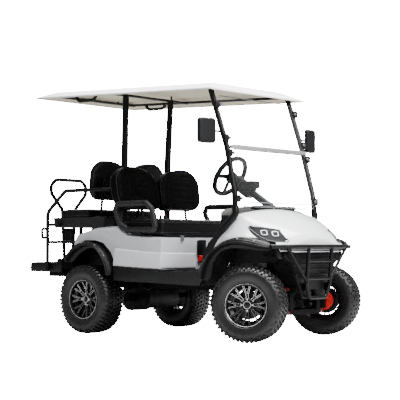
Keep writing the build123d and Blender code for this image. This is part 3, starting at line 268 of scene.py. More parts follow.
CHROME = finish("bright_steel", (0.78, 0.78, 0.78), 0.16, (600, 0.05), metallic=1.0)
ZINC = finish("zinc_bolt", (0.45, 0.45, 0.46), 0.38, (900, 0.2), metallic=1.0)
VINYL = finish("seat_vinyl_black", (0.0016, 0.0016, 0.0018), 0.45, specular=0.05, hide=(380, 0.2))
VINYL_GREY = finish("armrest_grey", (0.009, 0.0095, 0.0105), 0.45, specular=0.35, hide=(380, 0.4))
BENCH_VINYL = finish("bench_vinyl_black", (0.003, 0.003, 0.0034), 0.42, specular=0.2, hide=(380, 0.25))
PIPING = finish("seat_piping", (0.006, 0.006, 0.007), 0.5, (900, 0.2))
ROOF_UNDER = finish("roof_lining", (0.66, 0.6, 0.46), 0.7, (900, 0.4), specular=0.1)
MAT_RUBBER = finish("floor_mat", (0.006, 0.006, 0.0065), 0.75, (900, 0.5), specular=0.2, dust=(0.25, 0.9))
RED_LENS = finish("red_lens", (0.35, 0.006, 0.006), 0.12, (300, 0.03), coat=1.0)
WHITE_LENS = finish("lamp_white", (0.85, 0.87, 0.9), 0.15, (300, 0.03), coat=1.0)
GLOSS_BLACK = finish("gloss_black", (0.004, 0.004, 0.0045), 0.16, (300, 0.02), specular=0.5)
CLIP_GREY = finish("seal_grey", (0.1, 0.1, 0.105), 0.45, (500, 0.1))
RAIL_SILVER = finish("screen_rail_silver", (0.5, 0.51, 0.53), 0.4, (600, 0.1), metallic=0.7)
BEZEL = finish("lamp_bezel_grey", (0.03, 0.031, 0.034), 0.4, (400, 0.05), coat=0.1)
LEDGE_GREY = finish("ledge_grey", (0.05, 0.052, 0.055), 0.45, (900, 0.3))
SMOKED = finish("smoked_lens", (0.01, 0.011, 0.012), 0.5, (160, 0.25), specular=0.04)
MIRROR = finish("mirror_glass", (0.88, 0.89, 0.9), 0.03, (100, 0.005), metallic=1.0)


def clear_finish(name, color, roughness, alpha):
    """A thin clear sheet: see-through from in front, denser where it is seen edge on, its pale colour there a
    painted reflection.
    """
    material, tree, inputs = new_material(name, color, roughness)
    facing = add_node(tree, "LayerWeight", {"Blend": 0.35}).outputs["Facing"]
    # alpha rises towards edge-on views: a painted reflection in the sheet's own pale colour
    vary = add_node(tree, "MapRange", {
        "Value": facing, "From Min": 0.7, "From Max": 1.0, "To Min": alpha, "To Max": 0.55})
    connect(tree, inputs, {"Alpha": vary})
    return material


CLEAR = clear_finish("clear_screen", (0.93, 0.95, 0.96), 0.04, 0.008)
CLEAR_EDGE = clear_finish("screen_edge", (0.45, 0.5, 0.52), 0.12, 0.35)

NODE_FINISH = {
    CHASSIS: ("frame", "battery", "knuckle_left", "knuckle_right", "rack_bar", "rack_housing", "leaf_springs",
              "front_shocks", "rear_shocks"),
    CAST: ("rear_axle",),
    RED: ("brake_left", "brake_right"),
    RED_ARM_PAINTED_SHADE: ("front_arms",),
    BLACK_TUBE: ("brush_guard", "front_struts", "rear_struts", "roof_frame", "grab_rails", "grab_hoop",
                 "rear_seat_legs", "seat_back_frame"),
    RAIL_SILVER: ("windshield_rail",),
    VINYL_GREY: ("armrests", "rear_seat_base"),
    BLACK_GRAIN: ("rockers", "front_flares", "rear_flares", "front_fascia", "foot_platform", "dashboard",
                  "mirrors", "steering_wheel", "steering_column", "pedals", "floor_pan", "front_wheel_liners",
                  "rear_wheel_liners"),
    GLOSS_BLACK: ("cowl_trim",),
    PEARL: ("front_cowl",),
    # the rear body wears the darker pearl copy: painted shade
    PEARL_PAINTED_SHADE: ("rear_body",),
    ROOF_WHITE: ("roof",),
    VINYL: ("front_seat_cushion", "rear_seat_cushion", "front_seat_backs", "rear_seat_backs"),
    SMOKED: ("headlamps",),
    RED_LENS: ("tail_lamps",),
    CLEAR: ("windshield",),
    RUBBER: [name for name in NODES if name.startswith("tyre_")],
    RIM_BLACK: [name for name in NODES if name.startswith("rim_")],
}
# how far the edges of the carried-over pieces are rounded, in millimetres
NODE_ROUND = {
    "roof": 3.0, "rear_body": 3.0, "front_cowl": 1.5, "dashboard": 6.0, "foot_platform": 3.0, "rockers": 5.0,
    "floor_pan": 2.0, "front_fascia": 3.0, "rear_seat_base": 5.0, "front_flares": 3.0, "rear_flares": 3.0,
    "windshield_rail": 3.0, "mirrors": 2.0, "battery": 8.0, "frame": 3.0, "leaf_springs": 1.5, "pedals": 2.0,
    "steering_column": 6.0, "knuckle_left": 2.0, "knuckle_right": 2.0, "rack_housing": 2.0, "front_arms": 1.0,
}
# thickness of the sleeves and coatings over the bare tubes, in millimetres
NODE_COAT = {
    "armrests": 9.0, "rear_struts": 11.0, "front_struts": 4.0, "grab_rails": 3.0, "grab_hoop": 3.0,
    "brush_guard": 1.5, "steering_wheel": 7.5, "steering_column": 2.0}
for material, names in NODE_FINISH.items():
    for name in names:
        mesh = NODES[name].data
        mesh.materials.clear()
        mesh.materials.append(material)


WELD_GAP = 0.00003
ROUND_ABOVE = radians(38)
SPLIT_ABOVE = radians(36)


def soften(name):
    """Weld a carried-over piece, round its hard edges and shade it smoothly between them."""
    thing = NODES[name]
    mesh = thing.data
    for attribute in ("custom_normal", "sharp_edge", "sharp_face"):
        if attribute in mesh.attributes:
            mesh.attributes.remove(mesh.attributes[attribute])
    modify(thing, "weld", "WELD", merge_threshold=WELD_GAP)
    if name in NODE_ROUND:
        modify(thing, "round", "BEVEL", width=NODE_ROUND[name] / 1000, segments=2, limit_method="ANGLE",
               angle_limit=ROUND_ABOVE)
    if name in NODE_COAT:
        modify(thing, "coat", "DISPLACE", strength=NODE_COAT[name] / 1000, mid_level=0.0)
    modify(thing, "split", "EDGE_SPLIT", split_angle=SPLIT_ABOVE)


for name in NODES:
    soften(name)


# ---- tools
def mount(name, data, body, materials):
    """Put a finished mesh or curve on the cart: its object, materials and body."""
    thing = new_object(name, data)
    for material in materials:
        data.materials.append(material)
    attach(thing, body)
    return thing


def as_mesh(name, bm):
    """The bmesh as a mesh of its own."""
    mesh = bpy.data.meshes.new(name)
    bm.to_mesh(mesh)
    bm.free()
    return mesh


def add_in(bm, part):
    """Add a second bmesh to the first."""
    mesh = as_mesh("part", part)
    bm.from_mesh(mesh)
    bpy.data.meshes.remove(mesh)


def everything(bm):
    """All of a bmesh's geometry, as its operators take it."""
    return bm.verts[:] + bm.edges[:] + bm.faces[:]


def made_verts(made):
    """The vertices that an extrusion made."""
    return [g for g in made["geom"] if isinstance(g, BMVert)]


def piece(name, bm, materials, body="chassis", replaces=(), smooth=32):
    """Make a finished piece from a bmesh: normals, shading and body."""
    ops.recalc_face_normals(bm, faces=bm.faces)
    mesh = as_mesh(name, bm)
    mesh.shade_smooth()
    if smooth is not None:
        mesh.set_sharp_from_angle(angle=radians(smooth))
    thing = mount(name, mesh, body, materials)
    if replaces:
        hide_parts(*replaces)
    return thing


def outline_face(bm, points):
    """One face through a few points."""
    return bm.faces.new([bm.verts.new(p) for p in points])


def extrude_by(bm, faces, move):
    """Pull faces out by a vector; returns the new cap faces."""
    made = ops.extrude_face_region(bm, geom=list(faces))
    ops.translate(bm, vec=move, verts=made_verts(made))
    return [g for g in made["geom"] if isinstance(g, BMFace)]


def bevel_edges(bm, edges, width, segments=2):
    """Round the given edges."""
    ops.bevel(
        bm, geom=list(edges), offset=width, offset_type="OFFSET", segments=segments, profile=0.5,
        affect="EDGES", material=-1, clamp_overlap=True)


def sharp_edges(bm, angle=30):
    """Edges whose faces meet at more than this angle."""
    limit = radians(angle)
    return [e for e in bm.edges if len(e.link_faces) == 2 and e.calc_face_angle(0) > limit]


def lathe(bm, profile, steps, material=0):
    """A closed (radius, z) profile spun about the Z axis."""
    verts = [bm.verts.new((r, 0, z)) for r, z in profile]
    edges = [bm.edges.new((a, b)) for a, b in zip(verts, verts[1:] + verts[:1])]
    before = set(bm.faces)
    ops.spin(
        bm, geom=verts + edges, cent=(0, 0, 0), axis=(0, 0, 1), angle=2 * math.pi, steps=steps, use_merge=True)
    for face in bm.faces:
        if face not in before:
            face.material_index = material


def ring_copies(bm, count):
    """Repeat the whole bmesh evenly about the Z axis."""
    ops.spin(
        bm, geom=everything(bm), cent=(0, 0, 0), axis=(0, 0, 1), angle=2 * math.pi * (count - 1) / count,
        steps=count - 1, use_duplicate=True)


def box_piece(bm, low, high, material=0, round_by=0.0, segments=2):
    """A box between two corners, with its edges rounded."""
    before = set(bm.faces)
    size = Vector(high) - Vector(low)
    place = Matrix.Translation((Vector(low) + Vector(high)) / 2) @ Matrix.Diagonal((*size, 1))
    made = ops.create_cube(bm, size=1.0, matrix=place)["verts"]
    if round_by:
        bevel_edges(bm, {e for v in made for e in v.link_edges}, round_by, segments)
    for face in bm.faces:
        if face not in before:
            face.material_index = material


def fitting(name, boxes, finishes, place=None):
    """A piece of rounded boxes: (low, high, number of its finish, rounding and its segments)."""
    bm = bmesh.new()
    for box in boxes:
        box_piece(bm, *box)
    if place:
        ops.transform(bm, matrix=place, verts=bm.verts)
    piece(name, bm, finishes)


def round_bar(bm, radius, depth, segments, place, top=None, material=0):
    """A round, hexagonal or tapering bar about its own Z axis."""
    made = ops.create_cone(
        bm, cap_ends=True, segments=segments, radius1=radius, radius2=top or radius, depth=depth,
        matrix=place)["verts"]
    for face in {f for v in made for f in v.link_faces}:
        face.material_index = material


def tube(name, radius, roundness):
    """An empty curve that draws a round tube."""
    curve = bpy.data.curves.new(name, "CURVE")
    curve.dimensions = "3D"
    curve.bevel_depth = radius
    curve.bevel_resolution = roundness
    return curve


PIPE_BEND = 0.03


def pipe(name, runs, radius, material):
    """Round bars along open runs of points, with arcs at the corners."""
    curve = tube(name, radius, 4)
    curve.use_fill_caps = True
    curve.resolution_u = 8
    for points in runs:
        points = [Vector(p) for p in points]
        knots = [(points[0], points[0], points[0])]
        for before, here, after in zip(points, points[1:], points[2:]):
            back, on = (before - here), (after - here)
            room = min(PIPE_BEND, back.length * 0.48, on.length * 0.48)
            first, last = here + back.normalized() * room, here + on.normalized() * room
            knots.append((first, first, first.lerp(here, 0.55)))
            knots.append((last, last.lerp(here, 0.55), last))
        knots.append((points[-1], points[-1], points[-1]))
        spline = curve.splines.new("BEZIER")
        spline.bezier_points.add(len(knots) - 1)
        for knot, (place, left, right) in zip(spline.bezier_points, knots):
            knot.handle_left_type = knot.handle_right_type = "FREE"
            knot.co, knot.handle_left, knot.handle_right = place, left, right
    mount(name, curve, "chassis", (material,))


def closed_pipe(name, loops, radius, material):
    """Smooth closed tubes through the given loops of points."""
    curve = tube(name, radius, 3)
    for loop in loops:
        spline = curve.splines.new("BEZIER")
        spline.bezier_points.add(len(loop) - 1)
        for knot, place in zip(spline.bezier_points, loop):
            knot.handle_left_type = knot.handle_right_type = "AUTO"
            knot.co = place
        spline.use_cyclic_u = True
    mount(name, curve, "chassis", (material,))


# ---- wheels
HUB_Z = 0.292
HALF_TRACK = 0.574
REAR_AXLE_X = -0.549
FRONT_AXLE_X = 1.111
KINGPIN_Y = 0.464
STEER_REST = radians(22.6)
TYRE_RADIUS = 0.292
TREAD_PITCHES = 24
LUG_SKEW = 0.1
BLOCK_TAPER = 0.86  # size of a block's top against its foot
SHOULDER_AT = 0.062  # from this far out, a block's top drops over the shoulder's run
SHOULDER_RUN = 0.042
# share of a pitch further on; plan in quarter pitches and metres; foot and top radius; drop at the shoulder
TREAD_BLOCKS = (
    (0.0, ((-0.72, 0.004), (0.3, 0.004), (0.62, 0.016), (0.4, 0.034), (-0.25, 0.034), (-0.72, 0.02)),
     0.276, 0.2916, 0.0),
    (0.22, ((-0.7, 0.042), (0.2, 0.039), (0.68, 0.05), (0.55, 0.068), (-0.3, 0.071), (-0.7, 0.058)),
     0.275, 0.2914, 0.004),
)


def wheel_turn(axle_x, side, steer):
    """Carries a wheel made about +Z, outer side up, to its place on the cart."""
    stand = Matrix.Rotation(radians(-90 * side), 4, "X")
    place = Matrix.Translation((axle_x, side * HALF_TRACK, HUB_Z))
    if steer:
        pin = Matrix.Translation((FRONT_AXLE_X, side * KINGPIN_Y, 0))
        place = pin @ Matrix.Rotation(STEER_REST, 4, "Z") @ pin.inverted() @ place
    return place @ stand


def extrude_to(bm, face, places):
    """Pull a face out to new places for its corners."""
    cap = extrude_by(bm, [face], (0, 0, 0))[0]
    for vert, place in zip(cap.verts, places):
        vert.co = place


def block_on_tread(bm, plan, radius_low, radius_high, drop):
    """A tread block from its plan of (arc, width) points, standing out radially."""
    def at(arc, width, radius):
        radius -= drop * max(0.0, abs(width) - SHOULDER_AT) / SHOULDER_RUN
        return (radius * math.cos(arc / TYRE_RADIUS), radius * math.sin(arc / TYRE_RADIUS), width)
    face = outline_face(bm, [at(a, w, radius_low) for a, w in plan])
    mid = Vector((sum(a for a, w in plan) / len(plan), sum(w for a, w in plan) / len(plan), 0))
    tapered = [mid.lerp(Vector((a, w, 0)), BLOCK_TAPER) for a, w in plan]
    extrude_to(bm, face, [at(p.x, p.y, radius_high) for p in tapered])


def shoulder_lug(bm, section, arc, width, skew):
    """A lug over the shoulder: its (radius, width) section drawn along the arc."""
    def at(radius, across, along):
        turn = (along + skew * (across - 0.09)) / TYRE_RADIUS
        return (radius * math.cos(turn), radius * math.sin(turn), across)
    face = outline_face(bm, [at(r, w, arc - width / 2) for r, w in section])
    extrude_to(bm, face, [at(r, w, arc + width / 2) for r, w in section])


def make_tyre():
    """Carcass, centre blocks and shoulder lugs, about +Z."""
    bm = bmesh.new()
    half = [(0.1523, 0.0895), (0.1655, 0.0974), (0.17, 0.101), (0.176, 0.104), (0.179, 0.108), (0.182, 0.1084),
            (0.186, 0.1098), (0.2, 0.116), (0.214, 0.1196), (0.228, 0.1207), (0.24, 0.12), (0.252, 0.116),
            (0.262, 0.1095), (0.27, 0.101), (0.276, 0.088), (0.2785, 0.06), (0.279, 0.03)]
    lathe(bm, half + [(r, -z) for r, z in reversed(half)], 120)
    pitch = 2 * math.pi * TYRE_RADIUS / TREAD_PITCHES
    blocks = bmesh.new()
    for shift, sign in ((0, 1), (pitch / 2, -1)):
        for step in (0, 1):
            for lag, plan, foot, top, drop in TREAD_BLOCKS:
                arc = shift + step * pitch / 2 - pitch / 4 + pitch * lag
                block_on_tread(blocks, [(arc + pitch / 4 * u, sign * w) for u, w in plan], foot, top, drop)
    long_lug = [
        (0.266, 0.078), (0.2898, 0.078), (0.2872, 0.094), (0.2825, 0.1035), (0.27, 0.1135), (0.256, 0.1206),
        (0.25, 0.119), (0.25, 0.112)]
    short_lug = [
        (0.266, 0.08), (0.2896, 0.08), (0.2868, 0.095), (0.282, 0.1045), (0.273, 0.112), (0.269, 0.112),
        (0.266, 0.1)]
    for sign in (1, -1):
        for step, section, wide in ((0, short_lug, 0.019), (1, long_lug, 0.021)):
            a = step * pitch / 2 + (pitch * 0.12 if sign > 0 else -pitch * 0.1) - pitch
            shoulder_lug(blocks, [(r, sign * w) for r, w in section], a, wide, LUG_SKEW)
    ops.recalc_face_normals(blocks, faces=blocks.faces)
    ridge = [e for e in sharp_edges(blocks, 40) if all(math.hypot(v.co.x, v.co.y) > 0.279 for v in e.verts)]
    bevel_edges(blocks, ridge, 0.0012, 1)
    ring_copies(blocks, TREAD_PITCHES)
    add_in(bm, blocks)
    return bm


SPOKES = 8
NUTS = 4
HUB_RADIUS = 0.06
SPOKE_BORDER = 0.0016  # width of the silver line round a spoke, and depth of the black inside it


def make_rim():
    """Deep rim: black barrel, silver lip line, split spokes, hub, nuts and cap."""
    bm = bmesh.new()
    black, silver, steel = 0, 1, 2
    barrel = [
        (0.152, -0.09), (0.152, -0.062), (0.13, -0.04), (0.13, 0.04), (0.152, 0.062), (0.152, 0.0895),
        (0.1648, 0.097), (0.165, 0.1008), (0.1636, 0.102), (0.156, 0.1012), (0.1505, 0.0975), (0.148, 0.09),
        (0.147, 0.064), (0.14, 0.056), (0.125, 0.042), (0.125, -0.042), (0.147, -0.064), (0.147, -0.094),
        (0.164, -0.102), (0.165, -0.099), (0.164, -0.097)]
    lathe(bm, barrel, 96, black)
    lip = [
        (0.1642, 0.1014), (0.1636, 0.1028), (0.1618, 0.103), (0.1608, 0.1022), (0.1612, 0.1008),
        (0.163, 0.1004)]
    lathe(bm, lip, 96, silver)
    spoke = bmesh.new()
    face_z = 0.054
    y_shape = [
        (0.05, -0.0125), (0.066, -0.0095), (0.08, -0.012), (0.149, -0.033), (0.15, -0.0215), (0.09, -0.0035),
        (0.09, 0.0035), (0.15, 0.0215), (0.149, 0.033), (0.08, 0.012), (0.066, 0.0095), (0.05, 0.0125)]
    front = outline_face(spoke, [(x, y, face_z + (x - 0.05) * 0.3) for x, y in y_shape])
    extrude_by(spoke, [front], (0, 0, -0.017))
    ops.recalc_face_normals(spoke, faces=spoke.faces)
    fronts = [f for f in spoke.faces if f.normal.z > 0.8]
    rim_strip = ops.inset_region(
        spoke, faces=fronts, thickness=SPOKE_BORDER, depth=0.0, use_even_offset=True)["faces"]
    for face in rim_strip:
        face.material_index = silver
    inner = [f for f in spoke.faces if f.normal.z > 0.8 and f.material_index == black]
    ops.inset_region(spoke, faces=inner, thickness=0.001, depth=-SPOKE_BORDER, use_even_offset=True)
    ring_copies(spoke, SPOKES)
    add_in(bm, spoke)
    hub = [
        (0.0, 0.03), (0.058, 0.03), (HUB_RADIUS, 0.04), (HUB_RADIUS, 0.052), (0.0575, 0.0548), (0.054, 0.0548),
        (0.052, 0.052), (0.033, 0.051), (0.032, 0.049), (0.0, 0.049)]
    lathe(bm, hub, 64, black)
    cover = [
        (0.0, 0.02), (0.11, 0.02), (0.112, 0.022), (0.112, 0.028), (0.108, 0.031), (0.06, 0.033), (0.0, 0.033)]
    lathe(bm, cover, 64, black)
    ring = [(0.0318, 0.048), (0.0318, 0.064), (0.03, 0.0665), (0.0265, 0.0665), (0.025, 0.064), (0.025, 0.048)]
    lathe(bm, ring, 48, silver)
    cap = [(0.0, 0.05), (0.0252, 0.05), (0.0252, 0.0628), (0.018, 0.0645), (0.0, 0.0655)]
    lathe(bm, cap, 48, black)
    nut = bmesh.new()
    round_bar(nut, 0.0105, 0.02, 6, Matrix(), top=0.0092)
    bevel_edges(nut, sharp_edges(nut, 30), 0.0012, 1)
    ops.translate(nut, vec=(0.0435, 0, 0.06), verts=nut.verts)
    for face in nut.faces:
        face.material_index = steel
    ring_copies(nut, NUTS)
    add_in(bm, nut)
    return bm


tyre_form = make_tyre()
rim_form = make_rim()
WHEEL_PARTS = (
    ("tyre", tyre_form, "tyre_rubber", (RUBBER,)),
    ("rim", rim_form, "rim_black", (RIM_BLACK, MACHINED, CHROME)),
)
for side_name, side in SIDES:
    for end_name, axle_x in (("front", FRONT_AXLE_X), ("rear", REAR_AXLE_X)):
        carry = wheel_turn(axle_x, side, end_name == "front")
        body = f"wheel_{end_name}_{side_name}"
        for kind, form, slot, finishes in WHEEL_PARTS:
            wheel_piece = form.copy()
            wheel_piece.transform(carry)
            node = f"{kind}_{end_name}_{side_name}"
            piece("dressed_" + node, wheel_piece, finishes, body, (node,), smooth=28)
tyre_form.free()
rim_form.free()

# ---- seats
COVER_CLOTH = {
    "quality": 5, "mass": 0.3, "tension_stiffness": 15, "compression_stiffness": 15, "shear_stiffness": 5,
    "bending_stiffness": 0.5, "use_pressure": True, "uniform_pressure_force": 4.0}
SWELL_FRAMES = 20
SHRINK = 0.003  # how far a cover is cut inside its pattern before it swells
WELT_RADIUS = 0.0028
SEAM_DEPTH = 0.005
SEAM_SPREAD = 0.005


def node_form(name, side=0):
    """A carried-over piece's own form, welded; side keeps its left (+1) or right (-1) solids."""
    bm = bmesh.new()
    bm.from_mesh(NODES[name].data)
    ops.remove_doubles(bm, verts=bm.verts, dist=WELD_GAP)
    if side:
        ops.delete(bm, geom=[v for v in bm.verts if v.co.y * side < 0], context="VERTS")
    return bm


def baked(thing):
    """The shape a thing has with its modifiers, as a mesh of its own."""
    graph = bpy.context.evaluated_depsgraph_get()
    return bpy.data.meshes.new_from_object(thing.evaluated_get(graph))


def stuffed(form, voxel, limit, floor_at, floor_normal):
    """A filled cover: remeshed, pressed outwards, and held near its pattern and off what it lies against."""
    thing = new_object("cover", as_mesh("cover", form))
    modify(thing, "voxels", "REMESH", mode="VOXEL", voxel_size=voxel)
    modify(thing, "even", "SMOOTH", factor=0.5, iterations=5)
    thing.data = baked(thing)
    thing.modifiers.clear()
    for vert, normal in [(v, v.normal.copy()) for v in thing.data.vertices]:
        vert.co -= normal * SHRINK
    rest = [v.co.copy() for v in thing.data.vertices]
    cloth = modify(thing, "cover", "CLOTH")
    set_all(cloth.settings, COVER_CLOTH)
    cloth.settings.effector_weights.gravity = 0
    cloth.point_cache.frame_start = 1
    cloth.point_cache.frame_end = SWELL_FRAMES
    for moment in range(1, SWELL_FRAMES + 1):
        bpy.context.scene.frame_set(moment)
    thing.data = baked(thing)
    thing.modifiers.clear()
    bpy.context.scene.frame_set(1)
    for vert, home in zip(thing.data.vertices, rest):
        move = vert.co - home
        if move.length > limit:
            vert.co = home + move * (limit / move.length)
        below = (vert.co - floor_at).dot(floor_normal)
        if below < 0:
            vert.co -= floor_normal * below
    modify(thing, "fine", "SUBSURF", levels=1, render_levels=1)
    made = baked(thing)
    bpy.data.objects.remove(thing)
    return made


def press_seams(mesh, origin, up, out, seams, depth):
    """Press seams into the outer face; each is a line (u0, v0, u1, v1) across and up that face."""
    for vert in mesh.vertices:
        if vert.normal.dot(out) < 0.25:
            continue
        place = vert.co - origin
        u, v = place.y, place.dot(up)
        nearest = 1.0
        for u0, v0, u1, v1 in seams:
            du, dv = u1 - u0, v1 - v0
            share = max(0.0, min(1.0, ((u - u0) * du + (v - v0) * dv) / (du * du + dv * dv)))
            nearest = min(nearest, math.hypot(u - u0 - du * share, v - v0 - dv * share))
        if nearest < 4 * SEAM_SPREAD:
            vert.co -= out * (depth * math.exp(-(nearest / SEAM_SPREAD) ** 2))


def padded_piece(name, mesh, body, material, node):
    """Finish a padded piece from its mesh."""
    bm = bmesh.new()
    bm.from_mesh(mesh)
    bpy.data.meshes.remove(mesh)
    thing = piece(name, bm, (material,), body, (node,), smooth=None)
    return thing


def welt(name, source, point, normal, body):
    """Piping round a padded piece, along the line where a plane cuts it."""
    bm = bmesh.new()
    bm.from_mesh(source.data)
    cut = ops.bisect_plane(bm, geom=everything(bm), plane_co=point, plane_no=normal)
    line = {e for e in cut["geom_cut"] if isinstance(e, BMEdge)}
    ops.delete(bm, geom=[e for e in bm.edges if e not in line], context="EDGES")
    kept = {v for e in bm.edges for v in e.verts}
    ops.delete(bm, geom=[v for v in bm.verts if v not in kept], context="VERTS")
    thing = new_object(name, as_mesh(name, bm))
    bpy.ops.object.select_all(action="DESELECT")
    bpy.context.view_layer.objects.active = thing
    thing.select_set(True)
    bpy.ops.object.convert(target="CURVE")
    thing.data.bevel_depth = WELT_RADIUS
    thing.data.bevel_resolution = 2
    thing.data.materials.append(PIPING)
    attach(thing, body)


ACROSS = Vector((0, 1, 0))
CORNER_DRAW = 0.34  # share by which a back's outer corners are drawn in
SHOULDER_FALL = 0.085  # how far a back's top falls towards the middle of the cart


def round_sides(mesh, foot, up, side, height):
    """Draw in the outer top and foot corners of a back so its side runs in one curve."""
    outward = ACROSS * side
    for vert in mesh.vertices:
        far = (vert.co - foot).dot(outward)
        if far > 0:
            reach = abs((vert.co - foot).dot(up) / height * 2 - 1)
            vert.co -= outward * (far * CORNER_DRAW * min(reach, 1.0) ** 3.2)


def slope_shoulder(form, foot, up, inboard, reach, height):
    """Draw the inboard side of a backrest to the middle of the cart and let its top slope down there."""
    ops.triangulate(form, faces=form.faces)
    cuts = [(foot, ACROSS)]
    for part in (0.35, 0.7):
        cuts += [(foot + Vector((0, inboard * part * reach, 0)), ACROSS), (foot + up * part * height, up)]
    for place, normal in cuts:
        ops.bisect_plane(form, geom=everything(form), plane_co=place, plane_no=normal)
    half = max((v.co.y - foot.y) * inboard for v in form.verts)
    for vert in form.verts:
        share = max(0.0, (vert.co.y - foot.y) * inboard / half)
        lift = max(0.0, (vert.co - foot).dot(up) / height)
        vert.co.y += inboard * share * (reach - half)
        vert.co -= up * (SHOULDER_FALL * share ** 1.6 * lift ** 2)


# the sewn squares of the front bench, as lines across and along it
SQUARES = [(side * u0, v0, side * u1, v1) for side in (-1, 1) for u0, v0, u1, v1 in (
    (0.4, -0.13, 0.05, -0.13), (0.4, 0.1, 0.05, 0.1), (0.4, -0.13, 0.4, 0.1), (0.05, -0.13, 0.05, 0.1))]
PARTING = [(0, -0.3, 0, 0.3)]
# name, node, body, voxel, limit, low face, welt heights, seams
BENCHES = (
    ("front_bench", "front_seat_cushion", "seat_lid", 0.012, 0.012, 0.831, (0.853, 0.935), SQUARES),
    ("rear_bench", "rear_seat_cushion", "rear_seat_lid", 0.01, 0.008, 0.995, (1.008, 1.05), PARTING),
)
for name, node, body, voxel, limit, low, heights, seams in BENCHES:
    low_corner, high_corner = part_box(node)
    middle = (low_corner + high_corner) / 2
    mesh = stuffed(node_form(node), voxel, limit, Vector((0, 0, low)), UP)
    press_seams(mesh, middle, Vector((1, 0, 0)), UP, seams, SEAM_DEPTH)
    bench = padded_piece(name, mesh, body, BENCH_VINYL, node)
    for height in heights:
        welt(f"{name}_welt_{round(height * 1000)}", bench, (0, 0, height), UP, body)

# name, node, finish, foot x, foot z, lean, facing, side offset, height, half width of the pleats, welt depths
BACKS = (
    ("front_back", "front_seat_backs", VINYL, -0.345, 1.04, 9.0, 1, 0.28, 0.385, 0.115, (0.018, 0.084)),
    ("rear_back", "rear_seat_backs", BENCH_VINYL, -0.67, 1.13, 7.0, -1, 0.236, 0.368, 0.1, (0.014, 0.058)),
)
PLEATS = (0.1, 0.155, 0.21, 0.265)
INSERT_FOOT, INSERT_TOP = 0.05, 0.3
PLEAT_DEPTH = 0.0042
for name, node, material, foot_x, foot_z, lean, facing, offset, height, wide, depths in BACKS:
    lean = radians(lean)
    up = Vector((-math.sin(lean) * facing, 0, math.cos(lean)))
    out = Vector((math.cos(lean) * facing, 0, math.sin(lean)))
    pleats = [(-wide, v, wide, v) for v in (*PLEATS, INSERT_FOOT, INSERT_TOP)]
    borders = [(u, INSERT_FOOT, u, INSERT_TOP) for u in (-wide, wide)]
    for side_name, side in SIDES:
        foot = Vector((foot_x, side * offset, foot_z))
        form = node_form(node, side)
        slope_shoulder(form, foot, up, -side, offset - 0.001, height)
        mesh = stuffed(form, 0.009, 0.01, foot, out)
        round_sides(mesh, foot, up, side, height)
        press_seams(mesh, foot, up, out, pleats + borders, PLEAT_DEPTH)
        back = padded_piece(f"{name}_{side_name}", mesh, "chassis", material, node)
        for depth in depths:
            welt(f"{name}_{side_name}_welt_{round(depth * 1000)}", back, foot + out * depth, out, "chassis")

# ---- roof
LINING_DROP = 0.0012  # how far the lining hangs below the roof's own underside
EAVES_Z = 1.95
lining = node_form("roof")
lining.normal_update()
not_underside = [f for f in lining.faces if f.normal.z > -0.25 or f.calc_center_median().z < EAVES_Z]
ops.delete(lining, geom=not_underside, context="FACES")
ops.translate(lining, vec=(0, 0, -LINING_DROP), verts=lining.verts)
mount("roof_lining", as_mesh("roof_lining", lining), "chassis", (ROOF_UNDER,))

bolts = bmesh.new()
for x, z in ((-0.42, 2.108), (0.6, 2.066)):
    for y in (-0.31, 0.31):
        round_bar(bolts, 0.015, 0.008, 20, Matrix.Translation((x, y, z - 0.004)), top=0.012)
        ops.create_uvsphere(
            bolts, u_segments=16, v_segments=8, radius=0.008, matrix=Matrix.Translation((x, y, z)))
piece("roof_bolts", bolts, (BLACK_GRAIN,))

# ---- screen
SCREEN_HALF = 0.5
SCREEN_OFF = 0.022  # how far the panes stand in front of the struts' line
SCREEN_THICK = 0.005
SCREEN_CORNER = 0.045
SEAL_HALF = 0.455
SEAL_INSET = 0.004
# name, its line of (x, z) up the struts, the node it replaces
PANES = (
    ("lower_pane", ((0.988, 1.046), (0.974, 1.17), (0.89, 1.506)), ("windshield",)),
    ("upper_pane", ((0.882, 1.534), (0.742, 1.94)), ()),
)
seals = []
for name, line, replaced in PANES:
    pane = bmesh.new()
    rows = [(x + SCREEN_OFF + SCREEN_THICK / 2, z) for x, z in line]
    for (x0, z0), (x1, z1) in zip(rows, rows[1:]):
        outline_face(pane, [
            (x0, -SCREEN_HALF, z0), (x0, SCREEN_HALF, z0), (x1, SCREEN_HALF, z1), (x1, -SCREEN_HALF, z1)])
    ops.remove_doubles(pane, verts=pane.verts, dist=0.0001)
    corners = [v for v in pane.verts if len(v.link_faces) == 1]
    ops.bevel(
        pane, geom=corners, offset=SCREEN_CORNER, offset_type="OFFSET", segments=6, profile=0.5,
        affect="VERTICES", material=-1, clamp_overlap=True)
    ops.solidify(pane, geom=pane.faces[:], thickness=SCREEN_THICK)
    ops.translate(pane, vec=(0.0022, 0, 0.0), verts=pane.verts)
    for face in pane.faces:
        if face.calc_area() < 0.02 and abs(face.normal.x) < 0.7:
            face.material_index = 1
    piece(name, pane, (CLEAR, CLEAR_EDGE), replaces=replaced)
    for (x, z), inward in ((line[0], SEAL_INSET), (line[-1], -SEAL_INSET)):
        seals.append([(x + SCREEN_OFF, y, z + inward) for y in (-SEAL_HALF, SEAL_HALF)])
pipe("screen_seals", seals, 0.004, CLIP_GREY)
CLIP_PLACES = ((0.985, 1.11), (0.905, 1.47), (0.868, 1.59), (0.775, 1.86))
FORWARDS = Matrix.Rotation(radians(90), 4, "Y")
clips = bmesh.new()
for side in (-1, 1):
    for x, z in CLIP_PLACES:
        y = side * 0.52
        box_piece(clips, (x + 0.006, y - 0.028, z - 0.028), (x + 0.036, y + 0.024, z + 0.028), 0, 0.007)
        round_bar(
            clips, 0.012, 0.012, 20, Matrix.Translation((x + 0.04, side * 0.497, z)) @ FORWARDS, material=1)
piece("screen_clips", clips, (BLACK_GRAIN, ZINC))

